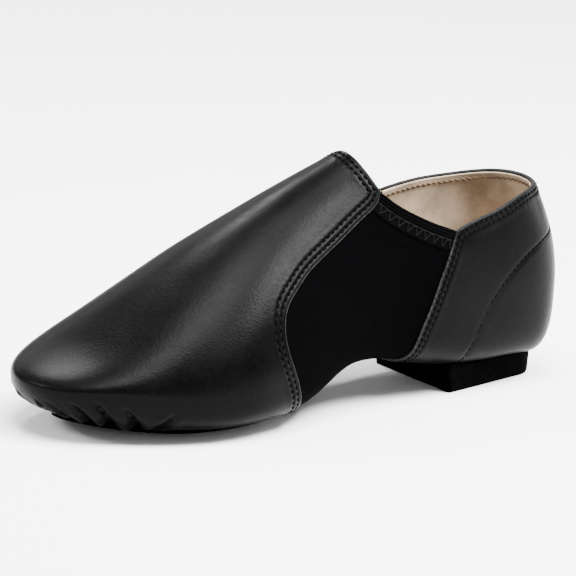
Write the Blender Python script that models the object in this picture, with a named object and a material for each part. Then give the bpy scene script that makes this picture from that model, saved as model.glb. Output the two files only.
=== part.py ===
"""Slip-on jazz shoe with a split sole, for the left foot, standing empty on its heel and forefoot.

The frame has its origin on the floor, under the middle of the shoe's box. +X runs from heel to toe,
+Y to the outer side of the foot and +Z up. All sizes are in metres.

The function form_grid gives the leather's outer face, and any face a set distance inside or outside
it. Each panel is a shell between two such faces, trimmed by prisms whose outlines are the panel edges
seen from the side, or the sole outlines seen from above.
"""

import bmesh
import bpy
import numpy as np
from mathutils.geometry import intersect_line_line_2d

# Overall sizes
LENGTH = 0.250
BALL_WIDTH = 0.088
BODY_HEIGHT = 0.092
HEEL_HEIGHT = 0.0092
ARCH_LIFT = 0.0098
TOE_SPRING = 0.0085

# Thicknesses and clearances
GAP = 0.0003
SIDE_GAP = 0.0005
LEATHER = 0.0010
UPPER_WALL = 0.0012
BINDING = 0.0008
SOLE_THICKNESS = 0.0018
INSOLE_THICKNESS = 0.0025

# How far the forefoot sole is pressed flat on the floor
FLOOR_PRESS = 0.0004

# Widths of the narrow parts
BINDING_WIDTH = 0.0085
LASTING_MARGIN = 0.007
HEEL_MARGIN = 0.006
SOLE_INSET = 0.0182
INSOLE_INSET = 0.0075
INSOLE_RIM = 0.004
HEEL_BACK_INSET = 0.0062
HEEL_LENGTH = 0.0573
HEEL_WIDTH = 0.0510
HEEL_BACK_WIDTH = 0.0340
HEEL_ROUND = 0.0132
HEEL_FLARE = 0.0006

# Stations along the shoe, as shares of LENGTH from the heel
HEEL_LINE_END_SHARE = 0.24
BALL_LINE_START_SHARE = 0.60
SPRING_START_SHARE = 0.72
ARCH_BACK_SHARE = 0.22
ARCH_PEAK_SHARE = 0.45
ARCH_FRONT_SHARE = 0.58
SOLE_BACK_SHARE = 0.575
SOLE_FRONT_SHARE = 0.938
MARGIN_BACK_SHARE = 0.625
MARGIN_FRONT_SHARE = 0.90
INSOLE_BACK_SHARE = 0.030
INSOLE_FRONT_SHARE = 0.955

# Reach of the cutting prisms past the shoe, to where they change from one side's edges to the other's,
# and up through the upper's underside and heel seat
OUTSIDE = 0.16
SIDE_CHANGE = 0.010
UNDERSIDE_REACH = 0.0065
HEEL_WRAP = 0.0050

# How squarely the plan outlines end, as exponents
BACK_END_POWER = 5.0
FRONT_END_POWER = 3.0

# How finely the form is faceted
RINGS = 34
AROUND = 32
EDGE_POINTS_PER_ROW = 2
PLAN_POINTS = 27
HEEL_ARC_POINTS = 25

# How strongly points are drawn to the two lower corners of a section
CORNER_DRAW = 0.045

# How much of a ring's tightest bend an inner face may take up
TIGHTEST_SHARE = 0.6

# Sections across the foot. along is a share of LENGTH from the heel. outer and inner are shares of
# BALL_WIDTH from the middle line. bottom, widest and crest are shares of BODY_HEIGHT above the walking
# line. ridge is how far the crest leans outwards and pinch how much the section narrows towards it,
# both as shares of its half width. square is the exponent of its lower half.
COLUMNS = ("along", "outer", "inner", "bottom", "widest", "crest", "ridge", "pinch", "square")
SECTIONS = (
    (0.000, 0.000, 0.000, 0.360, 0.360, 0.360, 0.00, 0.00, 2.4),
    (0.012, 0.160, 0.155, 0.140, 0.345, 0.580, 0.00, 0.00, 3.0),
    (0.040, 0.265, 0.255, 0.015, 0.305, 0.755, 0.00, 0.00, 3.6),
    (0.100, 0.330, 0.325, 0.000, 0.305, 0.995, 0.00, 0.00, 4.2),
    (0.200, 0.355, 0.345, 0.000, 0.295, 1.120, 0.00, 0.00, 4.2),
    (0.300, 0.360, 0.335, 0.000, 0.290, 1.105, 0.00, 0.04, 3.4),
    (0.420, 0.365, 0.345, 0.000, 0.300, 1.015, -0.06, 0.09, 2.8),
    (0.550, 0.440, 0.420, 0.000, 0.255, 0.905, -0.07, 0.11, 3.0),
    (0.680, 0.510, 0.495, 0.000, 0.190, 0.735, -0.08, 0.08, 3.4),
    (0.800, 0.465, 0.495, 0.000, 0.175, 0.525, -0.12, 0.02, 3.4),
    (0.900, 0.330, 0.430, 0.000, 0.175, 0.315, -0.20, -0.02, 3.0),
    (0.970, 0.165, 0.285, 0.020, 0.135, 0.195, -0.24, -0.02, 2.6),
    (1.000, -0.070, 0.070, 0.115, 0.115, 0.115, -0.24, 0.00, 2.4),
)

# Edges of the panels seen from the side. Each row is a point: along is a share of LENGTH from the heel,
# and outer and inner are its heights above the walking line on those sides, as shares of BODY_HEIGHT.
SIDE_COLUMNS = ("along", "outer", "inner")
QUARTER_TOP = (
    (-0.040, 0.800, 0.800),
    (0.020, 0.795, 0.795),
    (0.080, 0.780, 0.770),
    (0.130, 0.755, 0.753),
    (0.180, 0.714, 0.744),
    (0.225, 0.685, 0.730),
    (0.267, 0.650, 0.712),
)
GORE_TOP = (
    (0.267, 0.650, 0.712),
    (0.305, 0.695, 0.736),
    (0.340, 0.748, 0.771),
    (0.372, 0.808, 0.817),
    (0.396, 0.872, 0.872),
)
THROAT = (
    (0.396, 0.872, 0.872),
    (0.406, 0.940, 0.940),
    (0.413, 1.000, 1.000),
    (0.416, 1.035, 1.035),
    (0.418, 1.300, 1.300),
)
VAMP_EDGE = (
    (0.396, 0.872, 0.872),
    (0.410, 0.827, 0.827),
    (0.440, 0.788, 0.788),
    (0.478, 0.742, 0.742),
    (0.518, 0.697, 0.697),
    (0.558, 0.648, 0.648),
    (0.590, 0.590, 0.590),
    (0.616, 0.531, 0.531),
    (0.631, 0.458, 0.458),
    (0.634, 0.395, 0.395),
    (0.627, 0.310, 0.310),
    (0.612, 0.215, 0.215),
    (0.596, 0.100, 0.100),
    (0.566, -0.100, -0.100),
)
QUARTER_FRONT = (
    (0.267, 0.650, 0.712),
    (0.2825, 0.553, 0.590),
    (0.303, 0.437, 0.456),
    (0.321, 0.327, 0.335),
    (0.337, 0.232, 0.234),
    (0.347, 0.115, 0.115),
    (0.351, -0.100, -0.100),
)


def spline(knots, values, places):
    """Values of the natural cubic through the knots."""
    knots = np.asarray(knots, float)
    values = np.asarray(values, float)
    places = np.asarray(places, float)
    steps = np.diff(knots)
    count = len(knots)
    matrix = np.eye(count)
    right = np.zeros(count)
    for i in range(1, count - 1):
        matrix[i, i - 1 : i + 2] = steps[i - 1], 2 * (steps[i - 1] + steps[i]), steps[i]
        right[i] = 6 * ((values[i + 1] - values[i]) / steps[i] - (values[i] - values[i - 1]) / steps[i - 1])
    bend = np.linalg.solve(matrix, right)
    i = np.clip(np.searchsorted(knots, places) - 1, 0, count - 2)
    after = places - knots[i]
    before = knots[i + 1] - places
    step = steps[i]
    cubic = (bend[i] * before**3 + bend[i + 1] * after**3) / (6 * step)
    left_part = (values[i] / step - bend[i] * step / 6) * before
    right_part = (values[i + 1] / step - bend[i + 1] * step / 6) * after
    return cubic + left_part + right_part


def turn(along):
    """Angle whose cosine spaces stations closely at both ends, which rounds heel and toe."""
    return np.arccos(1 - 2 * np.clip(np.asarray(along, float), 0, 1))


def ease(t):
    t = np.clip(t, 0, 1)
    return t * t * (3 - 2 * t)


def walking_line(along):
    """Height of the leather's underside along the middle, before the arch is added."""
    along = np.asarray(along, float)
    heel = HEEL_HEIGHT + GAP
    ball = SOLE_THICKNESS + GAP - FLOOR_PRESS
    fall = ease((along - HEEL_LINE_END_SHARE) / (BALL_LINE_START_SHARE - HEEL_LINE_END_SHARE))
    spring = np.clip((along - SPRING_START_SHARE) / (1 - SPRING_START_SHARE), 0, 1) ** 2
    return heel + (ball - heel) * fall + TOE_SPRING * spring


def arch(along):
    """How far the underside rises between the two soles."""
    back = ease((along - ARCH_BACK_SHARE) / (ARCH_PEAK_SHARE - ARCH_BACK_SHARE))
    front = ease((ARCH_FRONT_SHARE - along) / (ARCH_FRONT_SHARE - ARCH_PEAK_SHARE))
    return ARCH_LIFT * back * front


def section_values(along):
    """Each column of SECTIONS at the stations asked for, as one column array per name."""
    knots = turn([row[0] for row in SECTIONS])
    places = turn(along)
    return {
        name: spline(knots, [row[i] for row in SECTIONS], places)[:, None]
        for i, name in enumerate(COLUMNS)
        if i
    }


def form_points(along, angles):
    """Points of the leather's outer face: one row per station, one column per angle round it.

    Angle 0 is the outer side of the foot, a quarter turn is the crest and three quarters the sole.
    """
    along = np.asarray(along, float)
    rows = section_values(along)
    across = np.cos(angles)[None, :]
    upward = np.sin(angles)[None, :]
    outer = rows["outer"] * BALL_WIDTH
    inner = rows["inner"] * BALL_WIDTH
    middle = (outer - inner) / 2
    half = (outer + inner) / 2
    low = rows["bottom"] * BODY_HEIGHT + arch(along)[:, None]
    side = rows["widest"] * BODY_HEIGHT
    top = rows["crest"] * BODY_HEIGHT
    corner = 2 / rows["square"]
    lean = rows["ridge"] * half * upward**2
    y_above = middle + half * across * (1 - rows["pinch"] * upward**2) + lean
    y_below = middle + half * np.sign(across) * np.abs(across) ** corner
    z_above = side + (top - side) * upward
    z_below = side - (side - low) * np.abs(upward) ** corner
    above = upward >= 0
    y = np.where(above, y_above, y_below)
    z = np.where(above, z_above, z_below) + walking_line(along)[:, None]
    x = np.broadcast_to((along * LENGTH)[:, None], y.shape)
    return np.stack([x, y, z], axis=-1)


def even_angles(count):
    """Angles round a section: evenly in the upper half, and drawn to the corners below."""
    half = count // 2
    above = np.pi * np.arange(half) / half
    t = np.arange(half) / half
    below = np.pi + np.pi * (t - CORNER_DRAW * np.sin(4 * np.pi * t))
    return np.concatenate([above, below])


def station_at(turns):
    return (1 - np.cos(turns)) / 2


def form_grid(offset):
    """The form moved outwards by offset: its two end points and its rings of points.

    Inwards the move across the foot fades where a ring bends too tightly for it, at the toe's tip.
    """
    turns = np.pi * np.arange(1, RINGS) / RINGS
    angles = even_angles(AROUND)
    step = 0.001
    rings = form_points(station_at(turns), angles)
    lengthwise = form_points(station_at(turns + step), angles) - form_points(station_at(turns - step), angles)
    crosswise = form_points(station_at(turns), angles + step) - form_points(station_at(turns), angles - step)
    normals = np.cross(crosswise, lengthwise)
    normals /= np.linalg.norm(normals, axis=-1, keepdims=True)
    sizes = np.ptp(rings[..., 1:], axis=1) / 2
    tightest = TIGHTEST_SHARE * (sizes.min(axis=1) ** 2 / sizes.max(axis=1))[:, None, None]
    move = np.full_like(rings, offset)
    if offset < 0:
        move[..., 1:] = offset / (1 + (offset / tightest) ** 4) ** 0.25
    ends = form_points([0.0, 1.0], np.zeros(1))[:, 0]
    ends[:, 0] += (-offset, offset)
    return ends[0], ends[1], rings + move * normals


def line_points(rows, side):
    """Points (x, z) on the smooth line through the rows of a side table, on one side of the foot."""
    count = EDGE_POINTS_PER_ROW * (len(rows) - 1) + 1
    knots = np.array([(row[0], row[SIDE_COLUMNS.index(side)]) for row in rows])
    reach = np.concatenate([[0.0], np.cumsum(np.linalg.norm(np.diff(knots, axis=0), axis=1))])
    places = np.linspace(0.0, reach[-1], count)
    along = spline(reach, knots[:, 0], places)
    height = spline(reach, knots[:, 1], places)
    return np.stack([along * LENGTH, height * BODY_HEIGHT + walking_line(along)], axis=-1)


def plan_outline(back, front, inset):
    """Outline (x, y) seen from above, a set distance inside the form's widest outline.

    Its ends are squared off with rounded corners, the back more than the front.
    """
    t = np.linspace(0.0, np.pi, PLAN_POINTS)
    along = back + (front - back) * station_at(t)
    power = np.where(t < np.pi / 2, BACK_END_POWER, FRONT_END_POWER)
    fullness = np.clip(1 - np.abs(np.cos(t)) ** power, 0, 1) ** (1 / power)
    rows = section_values(along)
    outer = rows["outer"][:, 0] * BALL_WIDTH - inset
    inner = rows["inner"][:, 0] * BALL_WIDTH - inset
    middle = (outer - inner) / 2
    half = (outer + inner) / 2 * fullness
    x = along * LENGTH
    there = np.stack([x, middle + half], axis=-1)
    back_again = np.stack([x, middle - half], axis=-1)[-2:0:-1]
    return np.concatenate([there, back_again])


def heel_outline(inset):
    """Outline (x, y) of the heel block: straight across the front, then narrowing to a round back."""
    angles = np.linspace(np.pi / 2, 3 * np.pi / 2, HEEL_ARC_POINTS)
    shoulder = HEEL_BACK_INSET + HEEL_ROUND
    breast = HEEL_BACK_INSET + HEEL_LENGTH - inset
    x = np.concatenate([[breast], shoulder + (HEEL_ROUND - inset) * np.cos(angles), [breast]])
    side = np.concatenate([[1.0], np.sin(angles), [-1.0]])
    slope = (HEEL_WIDTH - HEEL_BACK_WIDTH) / (2 * (HEEL_LENGTH - HEEL_ROUND))
    half = HEEL_BACK_WIDTH / 2 - inset + slope * (x - shoulder)
    return np.stack([x, half * side], axis=-1)


# Blender objects


def add_object(name, vertices, faces, material=None):
    mesh = bpy.data.meshes.new(name)
    mesh.from_pydata([tuple(v) for v in vertices], [], faces)
    work = bmesh.new()
    work.from_mesh(mesh)
    bmesh.ops.recalc_face_normals(work, faces=work.faces)
    if work.calc_volume(signed=True) < 0:
        bmesh.ops.reverse_faces(work, faces=work.faces)
    work.to_mesh(mesh)
    work.free()
    obj = bpy.data.objects.new(name, mesh)
    bpy.context.scene.collection.objects.link(obj)
    if material:
        mesh.materials.append(material)
    return obj


def hide(obj):
    obj.hide_render = True
    obj.display_type = "WIRE"
    return obj


def form(name, offset, material=None):
    """Closed solid bounded by the form moved outwards by offset."""
    heel, toe, rings = form_grid(offset)
    count, around = rings.shape[:2]
    vertices = [heel, *rings.reshape(-1, 3), toe]
    last = len(vertices) - 1
    faces = []
    for j in range(around):
        following = (j + 1) % around
        faces.append((0, 1 + following, 1 + j))
        faces.append((last, last - around + j, last - around + following))
        for i in range(count - 1):
            here = 1 + i * around
            faces.append((here + j, here + following, here + around + following, here + around + j))
    return add_object(name, vertices, faces, material)


def side_prism(name, slices):
    """Solid through slices across the foot, each a value of y and an outline (x, z) seen from the side."""
    vertices = [(x, y, z) for y, outline in slices for x, z in outline]
    return hide(add_object(name, vertices, prism_faces(len(slices[0][1]), len(slices))))


def both_sides(outline_on):
    """Slices of a prism right across the shoe, which has one outline for each side."""
    outer = outline_on("outer")
    inner = outline_on("inner")
    return [(-OUTSIDE, inner), (-SIDE_CHANGE, inner), (SIDE_CHANGE, outer), (OUTSIDE, outer)]


def plan_prism(name, outline, bottom, top, taper=0.0, material=None):
    """Solid with the outline (x, y), seen from above, whose lower end is drawn in by taper."""
    count = len(outline)
    middle = outline.mean(axis=0)
    reach = np.linalg.norm(outline - middle, axis=1, keepdims=True)
    lower = middle + (outline - middle) * (1 - taper / reach)
    vertices = [(x, y, bottom) for x, y in lower] + [(x, y, top) for x, y in outline]
    return add_object(name, vertices, prism_faces(count), material)


def prism_faces(count, slices=2):
    faces = [tuple(range(count)), tuple(range((slices - 1) * count, slices * count))]
    for start in range(0, (slices - 1) * count, count):
        for i in range(count):
            following = (i + 1) % count
            faces.append((start + i, start + following, start + count + following, start + count + i))
    return faces


def cut(obj, cutter, operation="DIFFERENCE"):
    modifier = obj.modifiers.new(f"{operation.lower()} {cutter.name}", "BOOLEAN")
    modifier.operation = operation
    modifier.solver = "EXACT"
    modifier.object = cutter


def shell(name, outer, inner, material):
    """Hollow solid between two forms, given by the names of their offsets."""
    obj = form(name, outer, material)
    cut(obj, hide(form(f"{name}_hollow", inner)))
    return obj


def surface(name, colour, roughness, metallic=0.0):
    material = bpy.data.materials.new(name)
    material.use_nodes = True
    shader = material.node_tree.nodes["Principled BSDF"]
    shader.inputs["Base Color"].default_value = (*colour, 1.0)
    shader.inputs["Roughness"].default_value = roughness
    shader.inputs["Metallic"].default_value = metallic
    return material


def joined(*lines):
    """Side lines end to end, without their shared points."""
    return np.concatenate([lines[0], *[line[1:] for line in lines[1:]]])


def collar_outline(side):
    """Everything above the shoe's top edge: topline, elastic sides and throat."""
    edge = joined(line_points(QUARTER_TOP, side), line_points(GORE_TOP, side), line_points(THROAT, side))
    above = [(edge[-1][0], OUTSIDE), (edge[0][0], OUTSIDE)]
    return np.concatenate([edge, above])


def vamp_outline(side):
    """Everything below the throat and ahead of the vamp's rear edge."""
    edge = joined(line_points(THROAT, side)[::-1], line_points(VAMP_EDGE, side))
    far = LENGTH + OUTSIDE
    ahead = [(far, edge[-1][1]), (far, OUTSIDE), (edge[0][0], OUTSIDE)]
    return np.concatenate([edge, ahead])


def quarter_outline(side):
    """Everything below the topline and behind the quarter's front edge."""
    edge = joined(line_points(QUARTER_TOP, side), line_points(QUARTER_FRONT, side))
    behind = [(edge[0][0], edge[-1][1])]
    return np.concatenate([edge, behind])


def crossing(line, other):
    """Where a side line meets another: the number of its segment, and the point."""
    for i, (start, end) in enumerate(zip(line[:-1], line[1:])):
        for other_start, other_end in zip(other[:-1], other[1:]):
            point = intersect_line_line_2d(start, end, other_start, other_end)
            if point:
                return i, np.array(point)
    raise ValueError("two panel edges don't meet")


def between(line, first, last):
    """The stretch of a side line from its crossing with one line to its crossing with another."""
    i, start = crossing(line, first)
    j, end = crossing(line, last)
    return np.concatenate([[start], line[i + 1 : j + 1], [end]])


def binding_outline(side):
    """Band below the top edge of the elastic side."""
    behind = lengthened(line_points(QUARTER_FRONT, side) + (SIDE_GAP, 0.0))
    ahead = lengthened(line_points(VAMP_EDGE, side) - (SIDE_GAP, 0.0))
    top = line_points(GORE_TOP, side)
    direction = np.gradient(top, axis=0)
    direction /= np.linalg.norm(direction, axis=1, keepdims=True)
    down = np.stack([direction[:, 1], -direction[:, 0]], axis=-1)
    upper = lengthened(top - GAP * down)
    lower = lengthened(top + BINDING_WIDTH * down)
    front = between(ahead, upper, lower)[-2:0:-1]
    return np.concatenate([between(lower, behind, ahead), front, between(upper, behind, ahead)[::-1]])


def lengthened(line):
    """A side line with a straight piece added at each end."""
    first = line[0] + BINDING_WIDTH * unit(line[0] - line[1])
    last = line[-1] + BINDING_WIDTH * unit(line[-1] - line[-2])
    return np.concatenate([[first], line, [last]])


def unit(vector):
    return vector / np.linalg.norm(vector)


def under_foot(height):
    """Everything below a line that runs a set height above the leather's underside."""
    along = np.linspace(0.0, 1.0, PLAN_POINTS)
    edge = np.stack([along * LENGTH, walking_line(along) + arch(along) + height], axis=-1)
    ends = [(LENGTH + OUTSIDE, edge[-1][1]), (LENGTH + OUTSIDE, -OUTSIDE), (-OUTSIDE, -OUTSIDE)]
    outline = np.concatenate([edge, ends, [(-OUTSIDE, edge[0][1])]])
    return side_prism("under_foot", [(-OUTSIDE, outline), (OUTSIDE, outline)])


def fore_opening():
    """The hole in the upper's underside that the forefoot sole closes."""
    outline = plan_outline(MARGIN_BACK_SHARE, MARGIN_FRONT_SHARE, SOLE_INSET + LASTING_MARGIN)
    top = SOLE_THICKNESS + TOE_SPRING + UNDERSIDE_REACH
    return hide(plan_prism("fore_opening", outline, -OUTSIDE, top))


def heel_opening():
    """The hole in the upper's underside that the heel block closes."""
    top = HEEL_HEIGHT + UNDERSIDE_REACH
    return hide(plan_prism("heel_opening", heel_outline(HEEL_MARGIN), -OUTSIDE, top))


def build():
    leather = surface("black leather", (0.012, 0.012, 0.013), 0.38)
    cloth = surface("black stretch cloth", (0.008, 0.008, 0.008), 0.85)
    elastic = surface("black elastic", (0.010, 0.010, 0.010), 0.70)
    foam = surface("black foam rubber", (0.010, 0.010, 0.010), 0.75)
    lining = surface("tan lining", (0.62, 0.42, 0.26), 0.70)

    collar = side_prism("collar_region", both_sides(collar_outline))
    under_ball = fore_opening()
    under_heel = heel_opening()

    lining_face = -LEATHER - GAP - UPPER_WALL
    upper = shell("upper", -LEATHER - GAP, lining_face, cloth)
    for cutter in (collar, under_ball, under_heel):
        cut(upper, cutter)

    vamp = shell("vamp", 0.0, -LEATHER, leather)
    cut(vamp, side_prism("vamp_region", both_sides(vamp_outline)), "INTERSECT")
    cut(vamp, under_ball)

    quarter = shell("quarter", 0.0, -LEATHER, leather)
    cut(quarter, side_prism("quarter_region", both_sides(quarter_outline)), "INTERSECT")
    cut(quarter, under_heel)

    for side, far in (("outer", OUTSIDE), ("inner", -OUTSIDE)):
        band = shell(f"gore_binding_{side}", BINDING - LEATHER, -LEATHER, elastic)
        outline = binding_outline(side)
        cut(band, side_prism(f"binding_region_{side}", [(0.0, outline), (far, outline)]), "INTERSECT")

    insole_under = lining_face - GAP
    insole = shell("insole", insole_under, insole_under - INSOLE_THICKNESS, lining)
    insole_plan = plan_outline(INSOLE_BACK_SHARE, INSOLE_FRONT_SHARE, INSOLE_INSET)
    cut(insole, hide(plan_prism("insole_region", insole_plan, -OUTSIDE, OUTSIDE)), "INTERSECT")
    cut(insole, under_foot(INSOLE_THICKNESS + INSOLE_RIM - insole_under), "INTERSECT")

    sole = shell("forefoot_sole", GAP + SOLE_THICKNESS, GAP, foam)
    sole_plan = plan_outline(SOLE_BACK_SHARE, SOLE_FRONT_SHARE, SOLE_INSET)
    sole_top = SOLE_THICKNESS + TOE_SPRING + UNDERSIDE_REACH
    cut(sole, hide(plan_prism("sole_region", sole_plan, 0.0, sole_top)), "INTERSECT")

    block_top = HEEL_HEIGHT + HEEL_WRAP
    block = plan_prism("heel_block", heel_outline(0.0), 0.0, block_top, HEEL_FLARE, foam)
    cut(block, hide(form("heel_seat", GAP)))

    return [obj for obj in bpy.data.objects if obj.type == "MESH"]


def centre_on_floor(pieces):
    """Hang every piece from an empty that brings the middle of the shoe's box over the origin."""
    bpy.context.view_layer.update()
    graph = bpy.context.evaluated_depsgraph_get()
    corners = []
    for obj in pieces:
        if not obj.hide_render:
            corners.extend(corner[:] for corner in obj.evaluated_get(graph).bound_box)
    corners = np.array(corners)
    middle = (corners.min(axis=0) + corners.max(axis=0)) / 2
    shoe = bpy.data.objects.new("shoe", None)
    bpy.context.scene.collection.objects.link(shoe)
    shoe.location = (-middle[0], -middle[1], 0.0)
    for obj in pieces:
        obj.parent = shoe


def main():
    for obj in list(bpy.data.objects):
        bpy.data.objects.remove(obj)
    pieces = build()
    for obj in pieces:
        if not obj.hide_render:
            obj.data.shade_smooth()
    centre_on_floor(pieces)


main()
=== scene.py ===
import contextlib
import math

import bpy
import numpy as np
from mathutils import Matrix, Vector


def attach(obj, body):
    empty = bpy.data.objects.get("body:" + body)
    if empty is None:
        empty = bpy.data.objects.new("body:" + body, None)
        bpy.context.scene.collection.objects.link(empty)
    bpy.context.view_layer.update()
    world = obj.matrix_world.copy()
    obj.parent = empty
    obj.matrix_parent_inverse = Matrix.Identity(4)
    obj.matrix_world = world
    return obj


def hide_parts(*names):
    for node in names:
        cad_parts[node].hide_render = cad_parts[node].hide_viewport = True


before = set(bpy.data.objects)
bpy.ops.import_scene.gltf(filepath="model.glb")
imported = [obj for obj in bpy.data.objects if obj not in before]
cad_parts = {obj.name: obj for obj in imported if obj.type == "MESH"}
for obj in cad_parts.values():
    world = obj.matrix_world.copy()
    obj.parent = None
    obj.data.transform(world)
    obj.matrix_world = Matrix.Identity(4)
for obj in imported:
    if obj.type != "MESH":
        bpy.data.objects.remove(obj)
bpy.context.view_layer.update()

bl_info = {
    "name": "Jazz shoe",
    "version": (1, 0, 0),
    "blender": (4, 5, 0),
    "location": "3D View > Sidebar > Jazz shoe",
    "description": "Dresses a left jazz shoe: leather, stretch sides, lining, seams and soles",
    "category": "Object",
}

# The last, as in the solid model. Lengths are in metres.
LENGTH = 0.250
BALL_WIDTH = 0.088
BODY_HEIGHT = 0.092
HEEL_HEIGHT = 0.0092
ARCH_LIFT = 0.0098
TOE_SPRING = 0.0085
GAP = 0.0003
SOLE_THICKNESS = 0.0018
FLOOR_PRESS = 0.0004
SOLE_INSET = 0.0182
INSOLE_INSET = 0.0075
HEEL_BACK_INSET = 0.0062
HEEL_LENGTH = 0.0573
HEEL_WIDTH = 0.0510
HEEL_BACK_WIDTH = 0.0340
HEEL_ROUND = 0.0132
TIGHTEST_SHARE = 0.6

# From the back of the heel, where the last starts, to the middle of the shoe's box
MIDDLE = np.array((0.125, 0.000277, 0.0))

# Sections across the foot. along is a share of LENGTH. outer and inner are shares of BALL_WIDTH.
# bottom, widest and crest are shares of BODY_HEIGHT above the walking line.
COLUMNS = ("along", "outer", "inner", "bottom", "widest", "crest", "ridge", "pinch", "square")
SECTIONS = (
    (0.000, 0.000, 0.000, 0.360, 0.360, 0.360, 0.00, 0.00, 2.4),
    (0.012, 0.160, 0.155, 0.140, 0.345, 0.580, 0.00, 0.00, 3.0),
    (0.040, 0.265, 0.255, 0.015, 0.305, 0.755, 0.00, 0.00, 3.6),
    (0.100, 0.330, 0.325, 0.000, 0.305, 0.995, 0.00, 0.00, 4.2),
    (0.200, 0.355, 0.345, 0.000, 0.295, 1.120, 0.00, 0.00, 4.2),
    (0.300, 0.360, 0.335, 0.000, 0.290, 1.105, 0.00, 0.04, 3.4),
    (0.420, 0.365, 0.345, 0.000, 0.300, 1.015, -0.06, 0.09, 2.8),
    (0.550, 0.440, 0.420, 0.000, 0.255, 0.905, -0.07, 0.11, 3.0),
    (0.680, 0.510, 0.495, 0.000, 0.190, 0.735, -0.08, 0.08, 3.4),
    (0.800, 0.465, 0.495, 0.000, 0.175, 0.525, -0.12, 0.02, 3.4),
    (0.900, 0.330, 0.430, 0.000, 0.175, 0.315, -0.20, -0.02, 3.0),
    (0.970, 0.165, 0.285, 0.020, 0.135, 0.195, -0.24, -0.02, 2.6),
    (1.000, -0.070, 0.070, 0.115, 0.115, 0.115, -0.24, 0.00, 2.4),
)

# Edges seen from the side: a share of LENGTH, then the height above the walking line as a share of
# BODY_HEIGHT, and where a third number is given, that height on the inner side
QUARTER_TOP = (
    (-0.040, 0.800, 0.800),
    (0.020, 0.795, 0.795),
    (0.080, 0.780, 0.770),
    (0.130, 0.755, 0.753),
    (0.180, 0.714, 0.744),
    (0.225, 0.685, 0.730),
    (0.267, 0.650, 0.712),
)
GORE_TOP = (
    (0.267, 0.650, 0.712),
    (0.305, 0.695, 0.736),
    (0.340, 0.748, 0.771),
    (0.372, 0.808, 0.817),
    (0.396, 0.872, 0.872),
)
THROAT = (
    (0.396, 0.872),
    (0.406, 0.940),
    (0.413, 1.000),
    (0.416, 1.035),
    (0.418, 1.300),
)
VAMP_EDGE = (
    (0.396, 0.872),
    (0.410, 0.827),
    (0.440, 0.788),
    (0.478, 0.742),
    (0.518, 0.697),
    (0.558, 0.648),
    (0.590, 0.590),
    (0.616, 0.531),
    (0.631, 0.458),
    (0.634, 0.395),
    (0.627, 0.310),
    (0.612, 0.215),
    (0.596, 0.100),
    (0.566, -0.100),
)
QUARTER_FRONT = (
    (0.267, 0.650, 0.712),
    (0.2825, 0.553, 0.590),
    (0.303, 0.437, 0.456),
    (0.321, 0.327, 0.335),
    (0.337, 0.232, 0.234),
    (0.347, 0.115, 0.115),
    (0.351, -0.100, -0.100),
)
COUNTER_SEAM = (
    (-0.040, 0.590),
    (0.020, 0.584),
    (0.048, 0.568),
    (0.093, 0.528),
    (0.1225, 0.488),
    (0.152, 0.430),
    (0.176, 0.370),
    (0.203, 0.272),
    (0.216, 0.207),
    (0.227, 0.143),
    (0.236, 0.060),
    (0.243, -0.100),
)

# Pleats that the leather was drawn into round the toe. Each runs from a first point to a last one,
# given as share of LENGTH and angle in degrees round the section. Its width and depth come last,
# as shares of PLEAT_WIDTH and PLEAT_DEPTH.
PLEATS = (
    (0.994, -62, 0.962, -86, 0.9, 0.70),
    (0.989, -40, 0.928, -76, 1.1, 1.10),
    (0.971, -14, 0.908, -74, 1.3, 1.40),
    (0.947, -2, 0.885, -72, 1.5, 1.60),
    (0.909, -6, 0.846, -70, 1.6, 1.60),
    (0.830, -2, 0.846, -66, 1.5, 1.20),
    (0.994, -122, 0.960, -98, 1.0, 0.90),
    (0.984, -150, 0.935, -112, 1.3, 1.20),
    (0.962, -168, 0.905, -110, 1.5, 1.40),
    (0.935, -180, 0.872, -112, 1.6, 1.30),
    (0.895, -176, 0.845, -114, 1.6, 0.90),
)
PLEAT_WIDTH = 0.0012
PLEAT_DEPTH = 0.0015
PLEAT_PARTS = 12
PLEAT_REACH = 0.035

# Next to a panel's corner, rows deeper than ROUNDING_START bend round it, more columns of them with depth
ROUNDING_START = 0.004
ROUNDING_SPAN = 0.003
ROUNDED_COLUMNS = 7

# Over how many points the two halves of a line over the foot are brought together
TOP_FADE = 240


def spline(knots, values, places):
    """Values of the natural cubic through the knots."""
    knots = np.asarray(knots, float)
    values = np.asarray(values, float)
    places = np.asarray(places, float)
    steps = np.diff(knots)
    count = len(knots)
    matrix = np.eye(count)
    right = np.zeros(count)
    for i in range(1, count - 1):
        matrix[i, i - 1 : i + 2] = steps[i - 1], 2 * (steps[i - 1] + steps[i]), steps[i]
        rise = (values[i + 1] - values[i]) / steps[i]
        right[i] = 6 * (rise - (values[i] - values[i - 1]) / steps[i - 1])
    bend = np.linalg.solve(matrix, right)
    i = np.clip(np.searchsorted(knots, places) - 1, 0, count - 2)
    after = places - knots[i]
    before = knots[i + 1] - places
    step = steps[i]
    cubic = (bend[i] * before**3 + bend[i + 1] * after**3) / (6 * step)
    left_part = (values[i] / step - bend[i] * step / 6) * before
    right_part = (values[i + 1] / step - bend[i + 1] * step / 6) * after
    return cubic + left_part + right_part


def turn(along):
    """Angle whose cosine spaces stations closely at both ends, which rounds heel and toe."""
    return np.arccos(1 - 2 * np.clip(np.asarray(along, float), 0, 1))


def station_at(turns):
    return (1 - np.cos(turns)) / 2


def unit(vectors):
    return vectors / np.linalg.norm(vectors, axis=-1, keepdims=True)


def reach_along(points):
    """How far along a row of points each of them lies."""
    return np.concatenate([[0.0], np.cumsum(np.linalg.norm(np.diff(points, axis=0), axis=1))])


def ease(t):
    t = np.clip(t, 0, 1)
    return t * t * (3 - 2 * t)


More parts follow.
